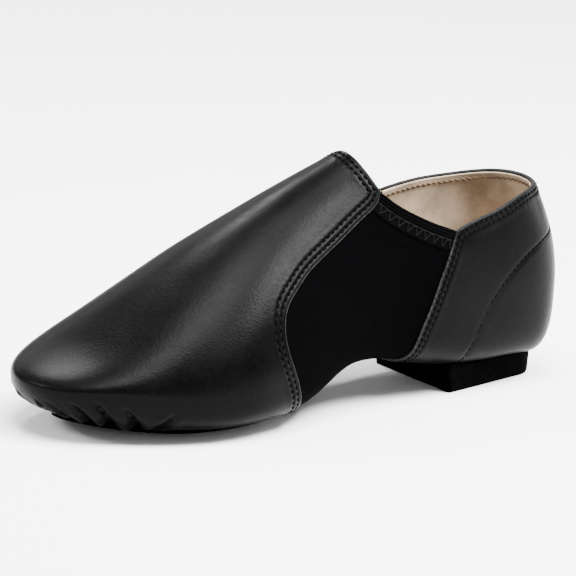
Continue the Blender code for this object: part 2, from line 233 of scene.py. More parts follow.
def walking_line(along):
    """Height of the leather's underside along the middle, before the arch is added."""
    heel = HEEL_HEIGHT + GAP
    ball = SOLE_THICKNESS + GAP - FLOOR_PRESS
    fall = ease((along - 0.24) / (0.60 - 0.24))
    spring = np.clip((along - 0.72) / (1 - 0.72), 0, 1) ** 2
    return heel + (ball - heel) * fall + TOE_SPRING * spring


def arch(along):
    """How far the underside rises between the two soles."""
    back = ease((along - 0.22) / (0.45 - 0.22))
    front = ease((0.58 - along) / (0.58 - 0.45))
    return ARCH_LIFT * back * front


KNOT_TURNS = turn([row[0] for row in SECTIONS])
KNOT_VALUES = {name: [row[i] for row in SECTIONS] for i, name in enumerate(COLUMNS) if i}


def sections(turns):
    """Middle, half width, underside, widest height, crest and the rest of each section asked for."""
    rows = {name: spline(KNOT_TURNS, values, turns) for name, values in KNOT_VALUES.items()}
    rows["middle"] = (rows["outer"] - rows["inner"]) / 2 * BALL_WIDTH
    rows["half"] = (rows["outer"] + rows["inner"]) / 2 * BALL_WIDTH
    rows["low"] = rows["bottom"] * BODY_HEIGHT + arch(station_at(turns))
    rows["side"] = rows["widest"] * BODY_HEIGHT
    rows["top"] = rows["crest"] * BODY_HEIGHT
    return rows


def last_points(turns, angles):
    """Points on the leather's outer face, for turns and angles of the same shape.

    Angle 0 is the outer side of the foot, a quarter turn up the crest and a quarter down the sole.
    """
    rows = sections(turns)
    across = np.cos(angles)
    upward = np.sin(angles)
    corner = 2 / rows["square"]
    lean = rows["ridge"] * rows["half"] * upward**2
    y_above = rows["middle"] + rows["half"] * across * (1 - rows["pinch"] * upward**2) + lean
    y_below = rows["middle"] + rows["half"] * np.sign(across) * np.abs(across) ** corner
    z_above = rows["side"] + (rows["top"] - rows["side"]) * upward
    z_below = rows["side"] - (rows["side"] - rows["low"]) * np.abs(upward) ** corner
    above = upward >= 0
    along = station_at(turns)
    y = np.where(above, y_above, y_below)
    z = np.where(above, z_above, z_below) + walking_line(along)
    return np.stack([along * LENGTH, y, z], axis=-1) - MIDDLE


def outward(turns, angles):
    """Unit normals of the last, pointing out."""
    step = 0.001
    near = np.clip(turns, 0.02, np.pi - 0.02)
    lengthwise = last_points(near + step, angles) - last_points(near - step, angles)
    crosswise = last_points(near, angles + step) - last_points(near, angles - step)
    normals = unit(np.cross(crosswise, lengthwise))
    away = np.clip(np.abs(turns - near) / 0.02, 0, 1)[..., None]
    tip = np.zeros_like(normals)
    tip[..., 0] = np.where(turns > 1.5, 1.0, -1.0)
    return unit(normals * (1 - away) + tip * away)


def surface(turns, angles, offset=0.0):
    """Points of the last moved out by offset. Inward moves fade where a section bends too tightly."""
    turns, angles, offset = np.broadcast_arrays(turns, angles, offset)
    turns = turns.astype(float)
    points = last_points(turns, angles)
    rows = sections(turns)
    wide = np.abs(rows["half"])
    tall = np.abs(rows["top"] - rows["low"]) / 2
    tightest = TIGHTEST_SHARE * np.minimum(wide, tall) ** 2 / np.maximum(np.maximum(wide, tall), 1e-6)
    tightest = np.maximum(tightest, 1e-6)
    move = np.repeat(offset[..., None].astype(float), 3, axis=-1)
    faded = offset / (1 + (offset / tightest) ** 4) ** 0.25
    move[..., 1:] = np.where(offset < 0, faded, offset)[..., None]
    return points + move * outward(turns, angles)


class Edge:
    """A line drawn on the last, measured in metres from its start."""

    def __init__(self, turns, angles, towards_toe):
        points = last_points(turns, angles)
        steps = np.linalg.norm(np.diff(points, axis=0), axis=1)
        keep = np.concatenate([[True], steps > 1e-7])
        self.turns = turns[keep]
        self.angles = angles[keep]
        self.reach = reach_along(points[keep])
        self.length = self.reach[-1]
        self.sign = -1.0 if towards_toe else 1.0

    def on(self, reach):
        return np.interp(reach, self.reach, self.turns), np.interp(reach, self.reach, self.angles)

    def tangent(self, reach):
        step = 0.0012
        reach = np.clip(reach, 0, self.length)
        before = last_points(*self.on(np.clip(reach - step, 0, self.length)))
        after = last_points(*self.on(np.clip(reach + step, 0, self.length)))
        return unit(after - before)

    def at(self, reach, depth=0.0):
        """Turns and angles of the points so far along the line and so deep into the panel."""
        reach, depth = np.broadcast_arrays(np.asarray(reach, float), np.asarray(depth, float))
        turns, angles = self.on(reach)
        start = last_points(turns, angles)
        along = self.tangent(reach)
        inward = self.sign * np.cross(outward(turns, angles), along)
        beyond = reach - np.clip(reach, 0, self.length)
        goal = start + depth[..., None] * inward + beyond[..., None] * along
        step = 0.001
        for _ in range(3):
            here = last_points(turns, angles)
            by_turn = last_points(turns + step, angles) - last_points(turns - step, angles)
            by_turn /= 2 * step
            by_angle = last_points(turns, angles + step) - last_points(turns, angles - step)
            by_angle /= 2 * step
            miss = goal - here
            a = (by_turn * by_turn).sum(-1)
            b = (by_turn * by_angle).sum(-1)
            c = (by_angle * by_angle).sum(-1)
            e = (by_turn * miss).sum(-1)
            f = (by_angle * miss).sum(-1)
            scale = a * c - b * b
            turns = turns + (c * e - b * f) / scale
            angles = angles + (a * f - b * e) / scale
        return turns, angles


def side_line(rows, outer=True):
    """Turns and angles of a side line where it lies on the last, as if on its outer side."""
    table = np.array(rows)[:, (0, 1 if outer else -1)]
    reach = reach_along(table)
    places = np.linspace(0.0, reach[-1], 1600)
    along = spline(reach, table[:, 0], places)
    height = spline(reach, table[:, 1], places) * BODY_HEIGHT
    on_foot = (along > 0.0) & (along < 1.0)
    along = along[on_foot]
    height = height[on_foot]
    turns = turn(along)
    values = sections(turns)
    above = height >= values["side"]
    rise = (height - values["side"]) / (values["top"] - values["side"])
    drop = (values["side"] - height) / (values["side"] - values["low"])
    sine = np.where(above, rise, -np.abs(drop) ** (values["square"] / 2))
    inside = np.abs(sine) <= 1.0
    first = int(np.argmax(inside))
    last = len(inside) - 1 - int(np.argmax(inside[::-1]))
    keep = slice(first, last + 1)
    turns = turns[keep]
    angles = np.arcsin(np.clip(sine[keep], -1, 1))
    if first > 0:
        turns = np.concatenate([[turns[0]], turns])
        angles = np.concatenate([[math.copysign(math.pi / 2, angles[0])], angles])
    if last < len(inside) - 1:
        turns = np.concatenate([turns, [turns[-1]]])
        angles = np.concatenate([angles, [math.copysign(math.pi / 2, angles[-1])]])
    return turns, angles


def over_top(rows, towards_toe):
    """A line over the top of the foot, from its inner end to its outer end."""
    turns, angles = side_line(rows)
    inner_turns, inner_angles = side_line(rows, False)
    if angles[0] < angles[-1]:
        turns = turns[::-1]
        angles = angles[::-1]
    else:
        inner_turns = inner_turns[::-1]
        inner_angles = inner_angles[::-1]
    inner_angles = np.pi - inner_angles
    half_gap = (turns[0] - inner_turns[-1]) / 2
    inner_turns = inner_turns + half_gap * (1 - ease(np.arange(len(inner_turns))[::-1] / TOP_FADE))
    turns = turns - half_gap * (1 - ease(np.arange(len(turns)) / TOP_FADE))
    turns = np.concatenate([inner_turns, turns])
    return Edge(turns, np.concatenate([inner_angles, angles]), towards_toe)


def under_foot(rows, towards_toe):
    """A line under the foot, from its outer end to its inner end."""
    turns, angles = side_line(rows)
    inner_turns, inner_angles = side_line(rows, False)
    turns = np.concatenate([turns, inner_turns[::-1]])
    angles = np.concatenate([angles, -np.pi - inner_angles[::-1]])
    return Edge(turns, angles, towards_toe)


def one_side(rows, outer, towards_toe):
    """A line on one side of the foot, from its first row to its last."""
    turns, angles = side_line(rows, outer)
    if not outer:
        angles = np.pi - angles
    return Edge(turns, angles, towards_toe)


def corner_share(first, second):
    """Tangent of half the turn that a panel's edge makes where one line ends and the next starts."""
    before = first.tangent(np.array([first.length]))[0]
    after = second.tangent(np.array([0.0]))[0]
    return math.tan(math.acos(float(np.clip(before @ after, -1, 1))) / 2)


def round_off(places):
    """Bends a row of places round its middle one, which keeps cells from folding at a corner."""
    share = np.linspace(0.0, 1.0, places.shape[1])
    middle = places[:, places.shape[1] // 2, None]
    ends = (1 - share) ** 2 * places[:, :1] + share**2 * places[:, -1:]
    return ends + 2 * share * (1 - share) * middle


class Outline:
    """A panel's whole edge: a line over the foot and then one under it, meeting at two corners."""

    def __init__(self, top, front):
        self.edges = (top, front)
        ahead = corner_share(top, front)
        behind = corner_share(front, top)
        self.corners = ((behind, ahead), (ahead, behind))

    def inset(self, number, reach, depth):
        """Turns and angles at a depth, keeping rows from crossing in the corners."""
        edge = self.edges[number]
        start, end = self.corners[number]
        squeezed = depth * start + reach * (1 - depth * (start + end) / edge.length)
        return edge.at(squeezed, depth)

    def ring(self, counts, depth):
        """The outline at a depth: a closed row of turns and angles, its last point over its first."""
        rows = []
        for number, count in enumerate(counts):
            reach = np.linspace(0.0, self.edges[number].length, count + 1)
            rows.append(self.inset(number, reach, depth))
        (turns_a, angles_a), (turns_b, angles_b) = rows
        corner = ((turns_a[-1] + turns_b[0]) / 2, (angles_a[-1] + angles_b[0]) / 2)
        close = ((turns_b[-1] + turns_a[0]) / 2, (angles_b[-1] + 2 * np.pi + angles_a[0]) / 2)
        turns = np.concatenate([[close[0]], turns_a[1:-1], [corner[0]], turns_b[1:-1], [close[0]]])
        angles = np.concatenate(
            [[close[1]], angles_a[1:-1], [corner[1]], angles_b[1:-1], [close[1] - 2 * np.pi]]
        )
        share = np.clip((depth - ROUNDING_START) / ROUNDING_SPAN, 0, 1)
        reach = int(round(ROUNDED_COLUMNS * share))
        if reach:
            places = np.stack([turns, angles])
            whole = np.array([[0.0], [2 * np.pi]])
            ahead = slice(counts[0] - reach, counts[0] + reach + 1)
            places[:, ahead] = round_off(places[:, ahead])
            behind = np.concatenate([places[:, -1 - reach : -1] + whole, places[:, : reach + 1]], axis=1)
            behind = round_off(behind)
            places[:, : reach + 1] = behind[:, reach:]
            places[:, -1 - reach :] = behind[:, : reach + 1] - whole
            turns, angles = places
        return turns, angles


def wave(points, seed, scale):
    """Soft unevenness between -1 and 1, from a few long crossing waves."""
    total = np.zeros(points.shape[:-1])
    rng = np.random.default_rng(seed)
    for _ in range(7):
        direction = rng.normal(size=3)
        direction /= np.linalg.norm(direction)
        pace = 2 * np.pi / (scale * rng.uniform(0.7, 1.6))
        total += np.sin(points @ direction * pace + rng.uniform(0, 6.3))
    return total / 3.5


def deselect():
    if bpy.context.object and bpy.context.object.mode != "OBJECT":
        bpy.ops.object.mode_set(mode="OBJECT")
    bpy.ops.object.select_all(action="DESELECT")


def pick(*objs):
    """Selects these objects and no others, the first of them active."""
    deselect()
    for obj in objs:
        obj.select_set(True)
    bpy.context.view_layer.objects.active = objs[0]


@contextlib.contextmanager
def edit_mode():
    """Edit mode of the active object, with all of it selected."""
    bpy.ops.object.mode_set(mode="EDIT")
    bpy.ops.mesh.select_all(action="SELECT")
    yield
    bpy.ops.object.mode_set(mode="OBJECT")


def close_and_face_out(obj, merge):
    """Merges the points that lie on each other and turns every face outwards."""
    with edit_mode():
        bpy.ops.mesh.remove_doubles(threshold=merge)
        bpy.ops.mesh.dissolve_degenerate(threshold=1e-7)
        bpy.ops.mesh.normals_make_consistent(inside=False)
    obj.select_set(True)
    bpy.ops.object.shade_smooth()


def grid_piece(name, points, attributes=None):
    """A grid primitive laid over rows of points, closed along its seams."""
    rows, columns = points.shape[:2]
    deselect()
    bpy.ops.mesh.primitive_grid_add(x_subdivisions=columns - 1, y_subdivisions=rows - 1, size=1)
    obj = bpy.context.object
    obj.name = name
    obj.data.name = name
    if len(obj.data.vertices) != rows * columns:
        raise RuntimeError(f"{name}: the grid has {len(obj.data.vertices)} points, not {rows * columns}")
    obj.data.vertices.foreach_set("co", np.ascontiguousarray(points, dtype=np.float32).ravel())
    for key, values in (attributes or {}).items():
        layer = obj.data.attributes.new(key, "FLOAT", "POINT")
        layer.data.foreach_set("value", np.ascontiguousarray(values, dtype=np.float32).ravel())
    while obj.data.uv_layers:
        obj.data.uv_layers.remove(obj.data.uv_layers[0])
    close_and_face_out(obj, 2e-6)
    return obj


def finish_piece(obj, material, slot, *nodes):
    obj.data.materials.clear()
    obj.data.materials.append(material_of(material))
    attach(obj, "root")
    if nodes:
        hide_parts(*nodes)
    return obj


# Materials


def shade(colour, factor, more=0.0):
    return tuple(min(1.0, c * factor + more) for c in colour)


class Recipe:
    """A material with its node tree, and short ways of adding to it."""

    def __init__(self, name, colour, roughness, specular=None):
        self.material = bpy.data.materials.new(name)
        self.material.use_nodes = True
        self.tree = self.material.node_tree
        self.shader = self.tree.nodes["Principled BSDF"]
        self.place = self.node("ShaderNodeTexCoord").outputs["Object"]
        self.set("Base Color", (*colour, 1.0))
        self.set("Roughness", roughness)
        if specular is not None:
            self.set("Specular IOR Level", specular)

    def put(self, socket, value):
        if isinstance(value, bpy.types.NodeSocket):
            self.tree.links.new(value, socket)
        else:
            socket.default_value = value

    def set(self, key, value):
        """Gives an input of the shader a value or another node's output."""
        self.put(self.shader.inputs[key], value)

    def node(self, kind, inputs=None, **settings):
        node = self.tree.nodes.new(kind)
        for key, value in settings.items():
            setattr(node, key, value)
        for key, value in (inputs or {}).items():
            self.put(node.inputs[key], value)
        return node

    def noise(self, scale, detail=3.0, roughness=0.55):
        inputs = {"Vector": self.place, "Scale": scale, "Detail": detail, "Roughness": roughness}
        return self.node("ShaderNodeTexNoise", inputs).outputs["Fac"]

    def cells(self, scale):
        inputs = {"Vector": self.place, "Scale": scale}
        return self.node("ShaderNodeTexVoronoi", inputs, feature="F1").outputs["Distance"]

    def bands(self, direction, inputs):
        inputs = {"Vector": self.place, **inputs}
        node = self.node("ShaderNodeTexWave", inputs, wave_type="BANDS", bands_direction=direction)
        return node.outputs["Fac"]

    def attribute(self, name):
        return self.node("ShaderNodeAttribute", attribute_name=name).outputs["Fac"]

    def spread(self, value, low, high, new_low=0.0, new_high=1.0):
        inputs = {"Value": value, "From Min": low, "From Max": high, "To Min": new_low, "To Max": new_high}
        return self.node("ShaderNodeMapRange", inputs).outputs["Result"]

    def math(self, operation, first, second=0.0):
        return self.node("ShaderNodeMath", {0: first, 1: second}, operation=operation).outputs[0]

    def add(self, first, *others):
        for other in others:
            first = self.math("ADD", first, other)
        return first

    def times(self, first, second):
        return self.math("MULTIPLY", first, second)

    def blend(self, share, first, second):
        """A colour between two, each of them a colour or another node's output."""
        node = self.node("ShaderNodeMix", {"Factor": share}, data_type="RGBA")
        for key, value in (("A", first), ("B", second)):
            socket = [s for s in node.inputs if s.name == key and s.type == "RGBA"][0]
            self.put(socket, (*value, 1.0) if isinstance(value, tuple) else value)
        return [s for s in node.outputs if s.type == "RGBA"][0]

    def bump(self, height, depth, strength):
        inputs = {"Strength": strength, "Distance": depth, "Height": height}
        self.set("Normal", self.node("ShaderNodeBump", inputs).outputs["Normal"])


def leather_material(colours):
    """Smooth black full-grain leather: fine pebbled grain, faint wrinkles, lighter raw edges, and pleat
    furrows made matte and darkened with painted shade.
    """
    base = tuple(colours.leather)
    recipe = Recipe("black full-grain leather", base, 0.34, 0.027)
    broad = recipe.noise(55.0)
    mottle = recipe.noise(620.0, 4.0, 0.6)
    grain = recipe.cells(1150.0)
    fine = recipe.noise(2600.0, 2.0)
    wrinkle = recipe.noise(420.0, 4.0, 0.6)
    furrow_shade_and_matte = recipe.attribute("furrow_shade_and_matte")
    worn = recipe.spread(recipe.add(broad, mottle), 0.8, 1.3)
    tone = recipe.blend(worn, base, shade(base, 1.7, 0.0003))
    rough = recipe.spread(recipe.noise(900.0, 3.0, 0.7), 0.35, 0.65, 0.15, 1.0)
    raw = recipe.times(recipe.attribute("rim"), rough)
    tone = recipe.blend(raw, tone, shade(base, 1.0, 0.030))
    # Painted shade: in the pleat furrows the colour is darkened to a fifth of the leather's
    recipe.set("Base Color", recipe.blend(furrow_shade_and_matte, tone, shade(base, 0.2)))
    gloss = recipe.spread(recipe.add(broad, wrinkle), 0.75, 1.3, 0.29, 0.38)
    # The furrows are also made rougher, a real matte finish rather than painted shade
    recipe.set("Roughness", recipe.add(gloss, recipe.times(furrow_shade_and_matte, 0.58)))
    height = recipe.add(recipe.times(grain, 0.7), recipe.times(fine, 0.3), recipe.times(wrinkle, 0.7))
    recipe.bump(height, 0.00008, 0.7)
    return recipe.material


def cloth_material(colours):
    """Matte stretch cloth with a fine knit running down the foot."""
    base = tuple(colours.cloth)
    recipe = Recipe("black stretch cloth", base, 0.88, 0.007)
    knit = recipe.bands("X", {"Scale": 520.0, "Distortion": 1.2, "Detail": 2.0, "Detail Scale": 2.0})
    course = recipe.bands("Z", {"Scale": 700.0, "Distortion": 1.0})
    fuzz = recipe.noise(1900.0)
    recipe.set("Base Color", recipe.blend(recipe.times(knit, fuzz), base, shade(base, 2.2, 0.0004)))
    recipe.bump(recipe.add(knit, recipe.times(course, 0.6), fuzz), 0.00012, 0.7)
    return recipe.material


def elastic_material(colours):
    """Black elastic braid with fine ribs along the band."""
    base = tuple(colours.elastic)
    recipe = Recipe("black elastic braid", base, 0.72, 0.010)
    rib = recipe.math("SINE", recipe.times(recipe.attribute("across"), 2 * math.pi / 0.00055))
    pick = recipe.math("SINE", recipe.times(recipe.attribute("along"), 2 * math.pi / 0.0007))
    height = recipe.add(recipe.times(rib, 0.5), recipe.times(pick, 0.4), recipe.noise(1500.0))
    tone = recipe.blend(recipe.spread(height, 0.0, 1.2), base, shade(base, 2.2, 0.0003))
    recipe.set("Base Color", tone)
    recipe.bump(height, 0.0001, 0.8)
    return recipe.material


def thread_material(name, colour, roughness):
    """Twisted sewing thread."""
    recipe = Recipe(name, colour, roughness, 0.012)
    twist = recipe.noise(3200.0, 2.0)
    recipe.set("Base Color", recipe.blend(twist, colour, shade(colour, 1.6, 0.0002)))
    recipe.bump(twist, 0.00008, 0.6)
    return recipe.material


def lining_material(colours):
    """Soft unfinished pigskin with pores and faint clouding."""
    base = tuple(colours.lining)
    dark = shade(base, 0.60)
    recipe = Recipe("beige pigskin lining", base, 0.72)
    clouds = recipe.noise(70.0, 4.0, 0.6)
    nap = recipe.noise(1400.0, 4.0, 0.65)
    tone = recipe.blend(recipe.spread(clouds, 0.34, 0.66), dark, shade(base, 1.20))
    tone = recipe.blend(recipe.spread(nap, 0.35, 0.75, 0.0, 0.35), tone, dark)
    recipe.set("Base Color", tone)
    pores = recipe.spread(recipe.cells(700.0), 0.0, 0.25, 0.0, 0.6)
    recipe.bump(recipe.add(nap, pores), 0.00012, 0.6)
    return recipe.material


def foam_material(colours):
    """Matte black foam rubber, fine-pored and a little dusty."""
    base = tuple(colours.foam)
    recipe = Recipe("black foam rubber", base, 0.8, 0.006)
    clouds = recipe.spread(recipe.noise(260.0, 5.0, 0.7), 0.42, 0.72)
    recipe.set("Base Color", recipe.blend(clouds, base, shade(base, 2.2, 0.0006)))
    pores = recipe.spread(recipe.cells(1500.0), 0.0, 0.4)
    recipe.bump(recipe.add(pores, recipe.noise(2400.0)), 0.00014, 0.7)
    return recipe.material


def floor_material(colours):
    """Plain pale studio floor with a hint of unevenness."""
    base = tuple(colours.floor)
    recipe = Recipe("pale studio floor", base, 0.9, 0.0)
    recipe.set("Base Color", recipe.blend(recipe.noise(6.0), shade(base, 0.985), base))
    return recipe.material


def black_thread(colours):
    return thread_material("black thread", tuple(colours.thread), 0.5)


def grey_thread(colours):
    return thread_material("dark grey thread", shade(colours.elastic, 3.0, 0.0029), 0.55)


def brown_thread(colours):
    brown = tuple(c * s for c, s in zip(colours.lining, (0.20, 0.18, 0.17)))
    return thread_material("brown thread", brown, 0.7)


MAKERS = {
    "leather": leather_material,
    "cloth": cloth_material,
    "elastic": elastic_material,
    "thread": black_thread,
    "elastic thread": grey_thread,
    "lining thread": brown_thread,
    "lining": lining_material,
    "foam": foam_material,
    "floor": floor_material,
}
MADE = {}


def material_of(key):
    """Each material is made once and shared by the pieces that have it."""
    if key not in MADE:
        MADE[key] = MAKERS[key](bpy.context.scene.jazz_shoe_colours)
    return MADE[key]


# Sizes and colours that a user would change


def length_setting(name, description, default, low, high):
    return bpy.props.FloatProperty(
        name=name, description=description, default=default, min=low, max=high, unit="LENGTH", precision=5
    )


def colour_setting(name, description, default):
    return bpy.props.FloatVectorProperty(
        name=name, description=description, default=default, subtype="COLOR", size=3, min=0.0, max=1.0
    )


class JazzShoeSizes(bpy.types.PropertyGroup):
    """Sizes of the shoe's dressing"""

    leather: length_setting("Leather", "Thickness of the vamp and the quarter", 0.0010, 0.0005, 0.0016)
    folded_edge: length_setting(
        "Folded edge", "Thickness of the leather where its top edge is folded over", 0.0019, 0.0012, 0.0024
    )
    stitch: length_setting("Stitch", "Distance from one stitch to the next", 0.0030, 0.0018, 0.0050)
    thread: length_setting("Thread", "Diameter of the sewing thread", 0.0010, 0.0002, 0.0010)
    first_row: length_setting(
        "First row", "Distance of the first row of stitches from the edge", 0.0020, 0.0010, 0.0030
    )
    second_row: length_setting(
        "Second row", "Distance of the second row of stitches from the edge", 0.0044, 0.0025, 0.0060
    )
    band: length_setting(
        "Elastic band", "Width of the elastic edge of the stretch sides", 0.0085, 0.0060, 0.0120
    )
    pleats: bpy.props.FloatProperty(
        name="Pleats",
        description="How deep the pleats at the toe are, as a share of the real ones",
        default=1.0,
        min=0.0,
        max=1.2,
        subtype="FACTOR",
    )


class JazzShoeColours(bpy.types.PropertyGroup):
    """Colours of the shoe's dressing"""

    leather: colour_setting("Leather", "Colour of the vamp and the quarter", (0.0007, 0.0007, 0.0008))
    cloth: colour_setting("Stretch cloth", "Colour of the stretch sides", (0.0003, 0.0003, 0.0004))
    elastic: colour_setting("Elastic", "Colour of the elastic edges", (0.0003, 0.0003, 0.0004))
    thread: colour_setting("Thread", "Colour of the stitches on the leather", (0.0003, 0.0003, 0.0003))
    lining: colour_setting("Lining", "Colour of the lining and the insole", (0.38, 0.292, 0.205))
    foam: colour_setting(
        "Foam rubber", "Colour of the heel block and the forefoot sole", (0.0003, 0.0003, 0.0004)
    )
    floor: colour_setting("Floor", "Colour of the studio floor", (0.90, 0.90, 0.90))


def settings():
    return bpy.context.scene.jazz_shoe_sizes


# The leather panels

# How many columns each panel has along its line over the foot and along the one under it
VAMP_COUNTS = (110, 300)
QUARTER_COUNTS = (190, 190)

# Depths of the rows next to a panel's edge, in mm: round the stitches and further in
RIM_DEPTHS = (0.0, 0.10, 0.22, 0.40, 0.65, 0.95, 1.2, 1.4, 1.6, 1.8, 2.05, 2.4, 2.8, 3.2, 3.5, 3.75, 4.0)
RIM_DEPTHS_INNER = (4.25, 4.55, 4.95, 5.5, 6.2, 7.0)
BACK_DEPTHS = (0.0, 0.0004, 0.0030, 0.0055)
RIM_ROWS = 4
RIM_BULGE = 0.00024

# Where the folded edge thins out to a single layer
FOLD_START = 0.0042
FOLD_SPAN = 0.0020

# What the stitches do to the leather: a trough under each row and swellings between and beyond them
TROUGH_DEPTH = 0.00030
TROUGH_WIDTH = 0.00040
BETWEEN_HEIGHT = 0.00014
BETWEEN_WIDTH = 0.0008
BEYOND_HEIGHT = 0.00018
BEYOND_WIDTH = 0.0010
BEYOND_DISTANCE = 0.0014
EDGE_DROP = 0.00022
EDGE_WIDTH = 0.0004

# Which side of the leather a row lies on
FACE = 1.0
RIM = 0.0
BACK = -1.0


def vamp_outline():
    return Outline(over_top(THROAT, True), under_foot(VAMP_EDGE, True))


def quarter_outline():
    return Outline(over_top(QUARTER_TOP, False), under_foot(QUARTER_FRONT, False))


def vamp_rows():
    return settings().first_row, settings().second_row


def quarter_rows():
    """The rows lie closer to the edge here than on the vamp."""
    return settings().first_row * 0.72, settings().second_row * 0.75


def fan_angles(counts, tables):
    """The direction from the panel's tip for each column, from tables of shares and degrees."""
    parts = []
    for count, table in zip(counts, tables):
        share = np.linspace(0.0, 1.0, count + 1)
        parts.append(np.interp(share, [row[0] for row in table], np.radians([row[1] for row in table])))
    return np.concatenate([parts[0], parts[1][1:]])


def panel_grid(outline, counts, tip, fan, shares, power, depths, backing, inner_step):
    """Rows of a panel: its face from the tip to the edge, round the edge, and its back to the tip.

    Gives turns, angles, offsets, the depth of each point from the edge and which side it is on.
    """
    rows = []
    far = depths[-1]
    wide = far + 0.0015
    ring_turns, ring_angles = outline.ring(counts, far)

    def ray(share):
        return tip + (ring_turns - tip) * share, fan + (ring_angles - fan) * share**power

    def add(places, offset, depth, side):
        spread_out = [np.broadcast_to(value, places[0].shape) for value in (offset, depth, side)]
        rows.append((*places, *spread_out))

    for share in shares[:-1]:
        add(ray(share), 0.0, wide, FACE)
    for depth in reversed(depths):
        add(outline.ring(counts, depth), 0.0, depth, FACE)
    for step in range(1, RIM_ROWS):
        part = math.pi * step / RIM_ROWS
        drop = (1 - math.cos(part)) / 2
        add(outline.ring(counts, -RIM_BULGE * math.sin(part)), -backing(0.0) * drop, 0.0, RIM)
    for depth in (*BACK_DEPTHS, far):
        add(outline.ring(counts, depth), -backing(depth), depth, BACK)
    back_shares = list(shares[-1 - inner_step :: -inner_step])
    if back_shares[-1] > 0:
        back_shares.append(0.0)
    for share in back_shares:
        add(ray(share), -backing(wide), wide, BACK)
    return [np.array(column) for column in zip(*rows)]


def seam_relief(deep, reach, rows, pitch, ends):
    """Troughs that the stitches pull into the leather, puffed between, and a softened edge."""
    relief = np.zeros_like(deep)
    pull = 0.5 - 0.5 * np.cos(2 * np.pi * reach / pitch)
    for row in rows:
        trough = np.exp(-(((deep - row) / TROUGH_WIDTH) ** 2))
        relief -= TROUGH_DEPTH * trough * (0.25 + 0.75 * pull)
    middle = (rows[0] + rows[-1]) / 2
    between = np.exp(-(((deep - middle) / BETWEEN_WIDTH) ** 2))
    relief += BETWEEN_HEIGHT * between * (0.6 + 0.4 * pull)
    beyond = np.exp(-(((deep - rows[-1] - BEYOND_DISTANCE) / BEYOND_WIDTH) ** 2))
    relief += BEYOND_HEIGHT * ease(ends / 0.009) * beyond * (0.4 + 0.6 * pull)
    relief -= EDGE_DROP * np.clip(1 - deep / EDGE_WIDTH, 0, 1) ** 2
    return relief


def pleat_relief(points, strength):
    """Furrows of the pleats round the toe, each with a soft swelling on either side."""
    relief = np.zeros(points.shape[:-1])
    last = PLEAT_PARTS - 1
    steps = np.linspace(0.0, 1.0, PLEAT_PARTS + 1)
    for first_along, first_angle, last_along, last_angle, width, depth in PLEATS:
        turns = turn(first_along + (last_along - first_along) * steps)
        angles = np.radians(first_angle + (last_angle - first_angle) * steps)
        line = last_points(turns, angles)
        normals = outward(turns, angles)
        near = np.linalg.norm(points - line[PLEAT_PARTS // 2], axis=-1) < PLEAT_REACH
        these = points[near]
        gaps = np.linalg.norm(these[:, None] - line[None], axis=-1)
        closest = np.clip(np.argmin(gaps, axis=1), 0, last)
        best = np.full(len(these), 1e9)
        side = np.zeros(len(these))
        share = np.zeros(len(these))
        for shift in (-1, 0):
            part = np.clip(closest + shift, 0, last)
            start = line[part]
            run = line[part + 1] - start
            t = ((these - start) * run).sum(-1) / (run * run).sum(-1)
            t = np.clip(t, 0, 1)
            foot = start + run * t[:, None]
            away = np.linalg.norm(these - foot, axis=-1)
            turned = np.sign((np.cross(run, normals[part]) * (these - foot)).sum(-1))
            closer = away < best
            best = np.where(closer, away, best)
            side = np.where(closer, away * turned, side)
            share = np.where(closer, (part + t) / PLEAT_PARTS, share)
        swell = ease(share / 0.35) * (1 - 0.35 * ease((share - 0.85) / 0.15))
        wide = width * PLEAT_WIDTH * (0.55 + 0.70 * share)
        furrow = -np.exp(-(np.abs(side / wide) ** 1.6))
        lip = 0.42 * np.exp(-(((side - 2.1 * wide) / (1.5 * wide)) ** 2))
        lip += 0.30 * np.exp(-(((side + 2.1 * wide) / (1.5 * wide)) ** 2))
        relief[near] += depth * PLEAT_DEPTH * strength * swell * (furrow + lip)
    return relief


def edge_reach(outline, counts, rows):
    """How far along the edge each column lies."""
    first, second = (np.linspace(0.0, edge.length, n + 1) for edge, n in zip(outline.edges, counts))
    return np.broadcast_to(np.concatenate([first, second[1:]]), (rows, sum(counts) + 1))


def top_share(counts):
    """One along the line over the foot, nought under it, fading next to the corners."""
    soften = 6
    column = np.arange(sum(counts) + 1)
    inside = np.minimum(column, counts[0] - column)
    share = np.clip((inside + soften) / (2 * soften), 0, 1)
    wrap = sum(counts) - column
    return np.maximum(share, np.where(wrap < soften, (soften - wrap) / (2 * soften), 0))


def leather_panel(name, outline, counts, tip, fan, count, power, rows, extra, node):
    """One leather piece, folded over along its top edge and cut raw along the rest."""
    sizes = settings()
    folded = top_share(counts)
    depths = [d * 0.001 for d in RIM_DEPTHS + RIM_DEPTHS_INNER]
    thicker = (sizes.folded_edge - sizes.leather) * folded

    def backing(depth):
        fade = 1 - ease((depth - FOLD_START) / FOLD_SPAN)
        return sizes.leather + thicker * fade

    shares = np.linspace(0.0, 1.0, count + 1)
    turns, angles, offsets, deep, side = panel_grid(
        outline, counts, tip, fan, shares, power, depths, backing, 4
    )
    base = last_points(turns, angles)
    reach = edge_reach(outline, counts, len(turns))
    lengths = np.repeat([edge.length for edge in outline.edges], (counts[0] + 1, counts[1]))
    ends = np.minimum(reach, lengths - reach)
    in_front = side >= RIM
    relief = np.where(in_front, seam_relief(deep, reach, rows, sizes.stitch, ends), 0.0)
    relief[:, -1] = relief[:, 0]
    broad = extra(base, deep)
    points = surface(turns, angles, offsets + relief + broad * np.where(in_front, 1.0, 0.75))
    rim = np.where(in_front, np.clip(1 - deep / EDGE_WIDTH, 0, 1), 0.0) * (1 - 0.55 * folded)
    # How deep the pleat furrows sink: the leather material paints shade into the colour there and makes it
    # matte
    furrow_shade_and_matte = np.where(in_front, ease((-broad - 0.0003) / 0.0016), 0.0)
    obj = grid_piece(name, points, {"rim": rim, "furrow_shade_and_matte": furrow_shade_and_matte})
    finish_piece(obj, "leather", "black_leather", node)


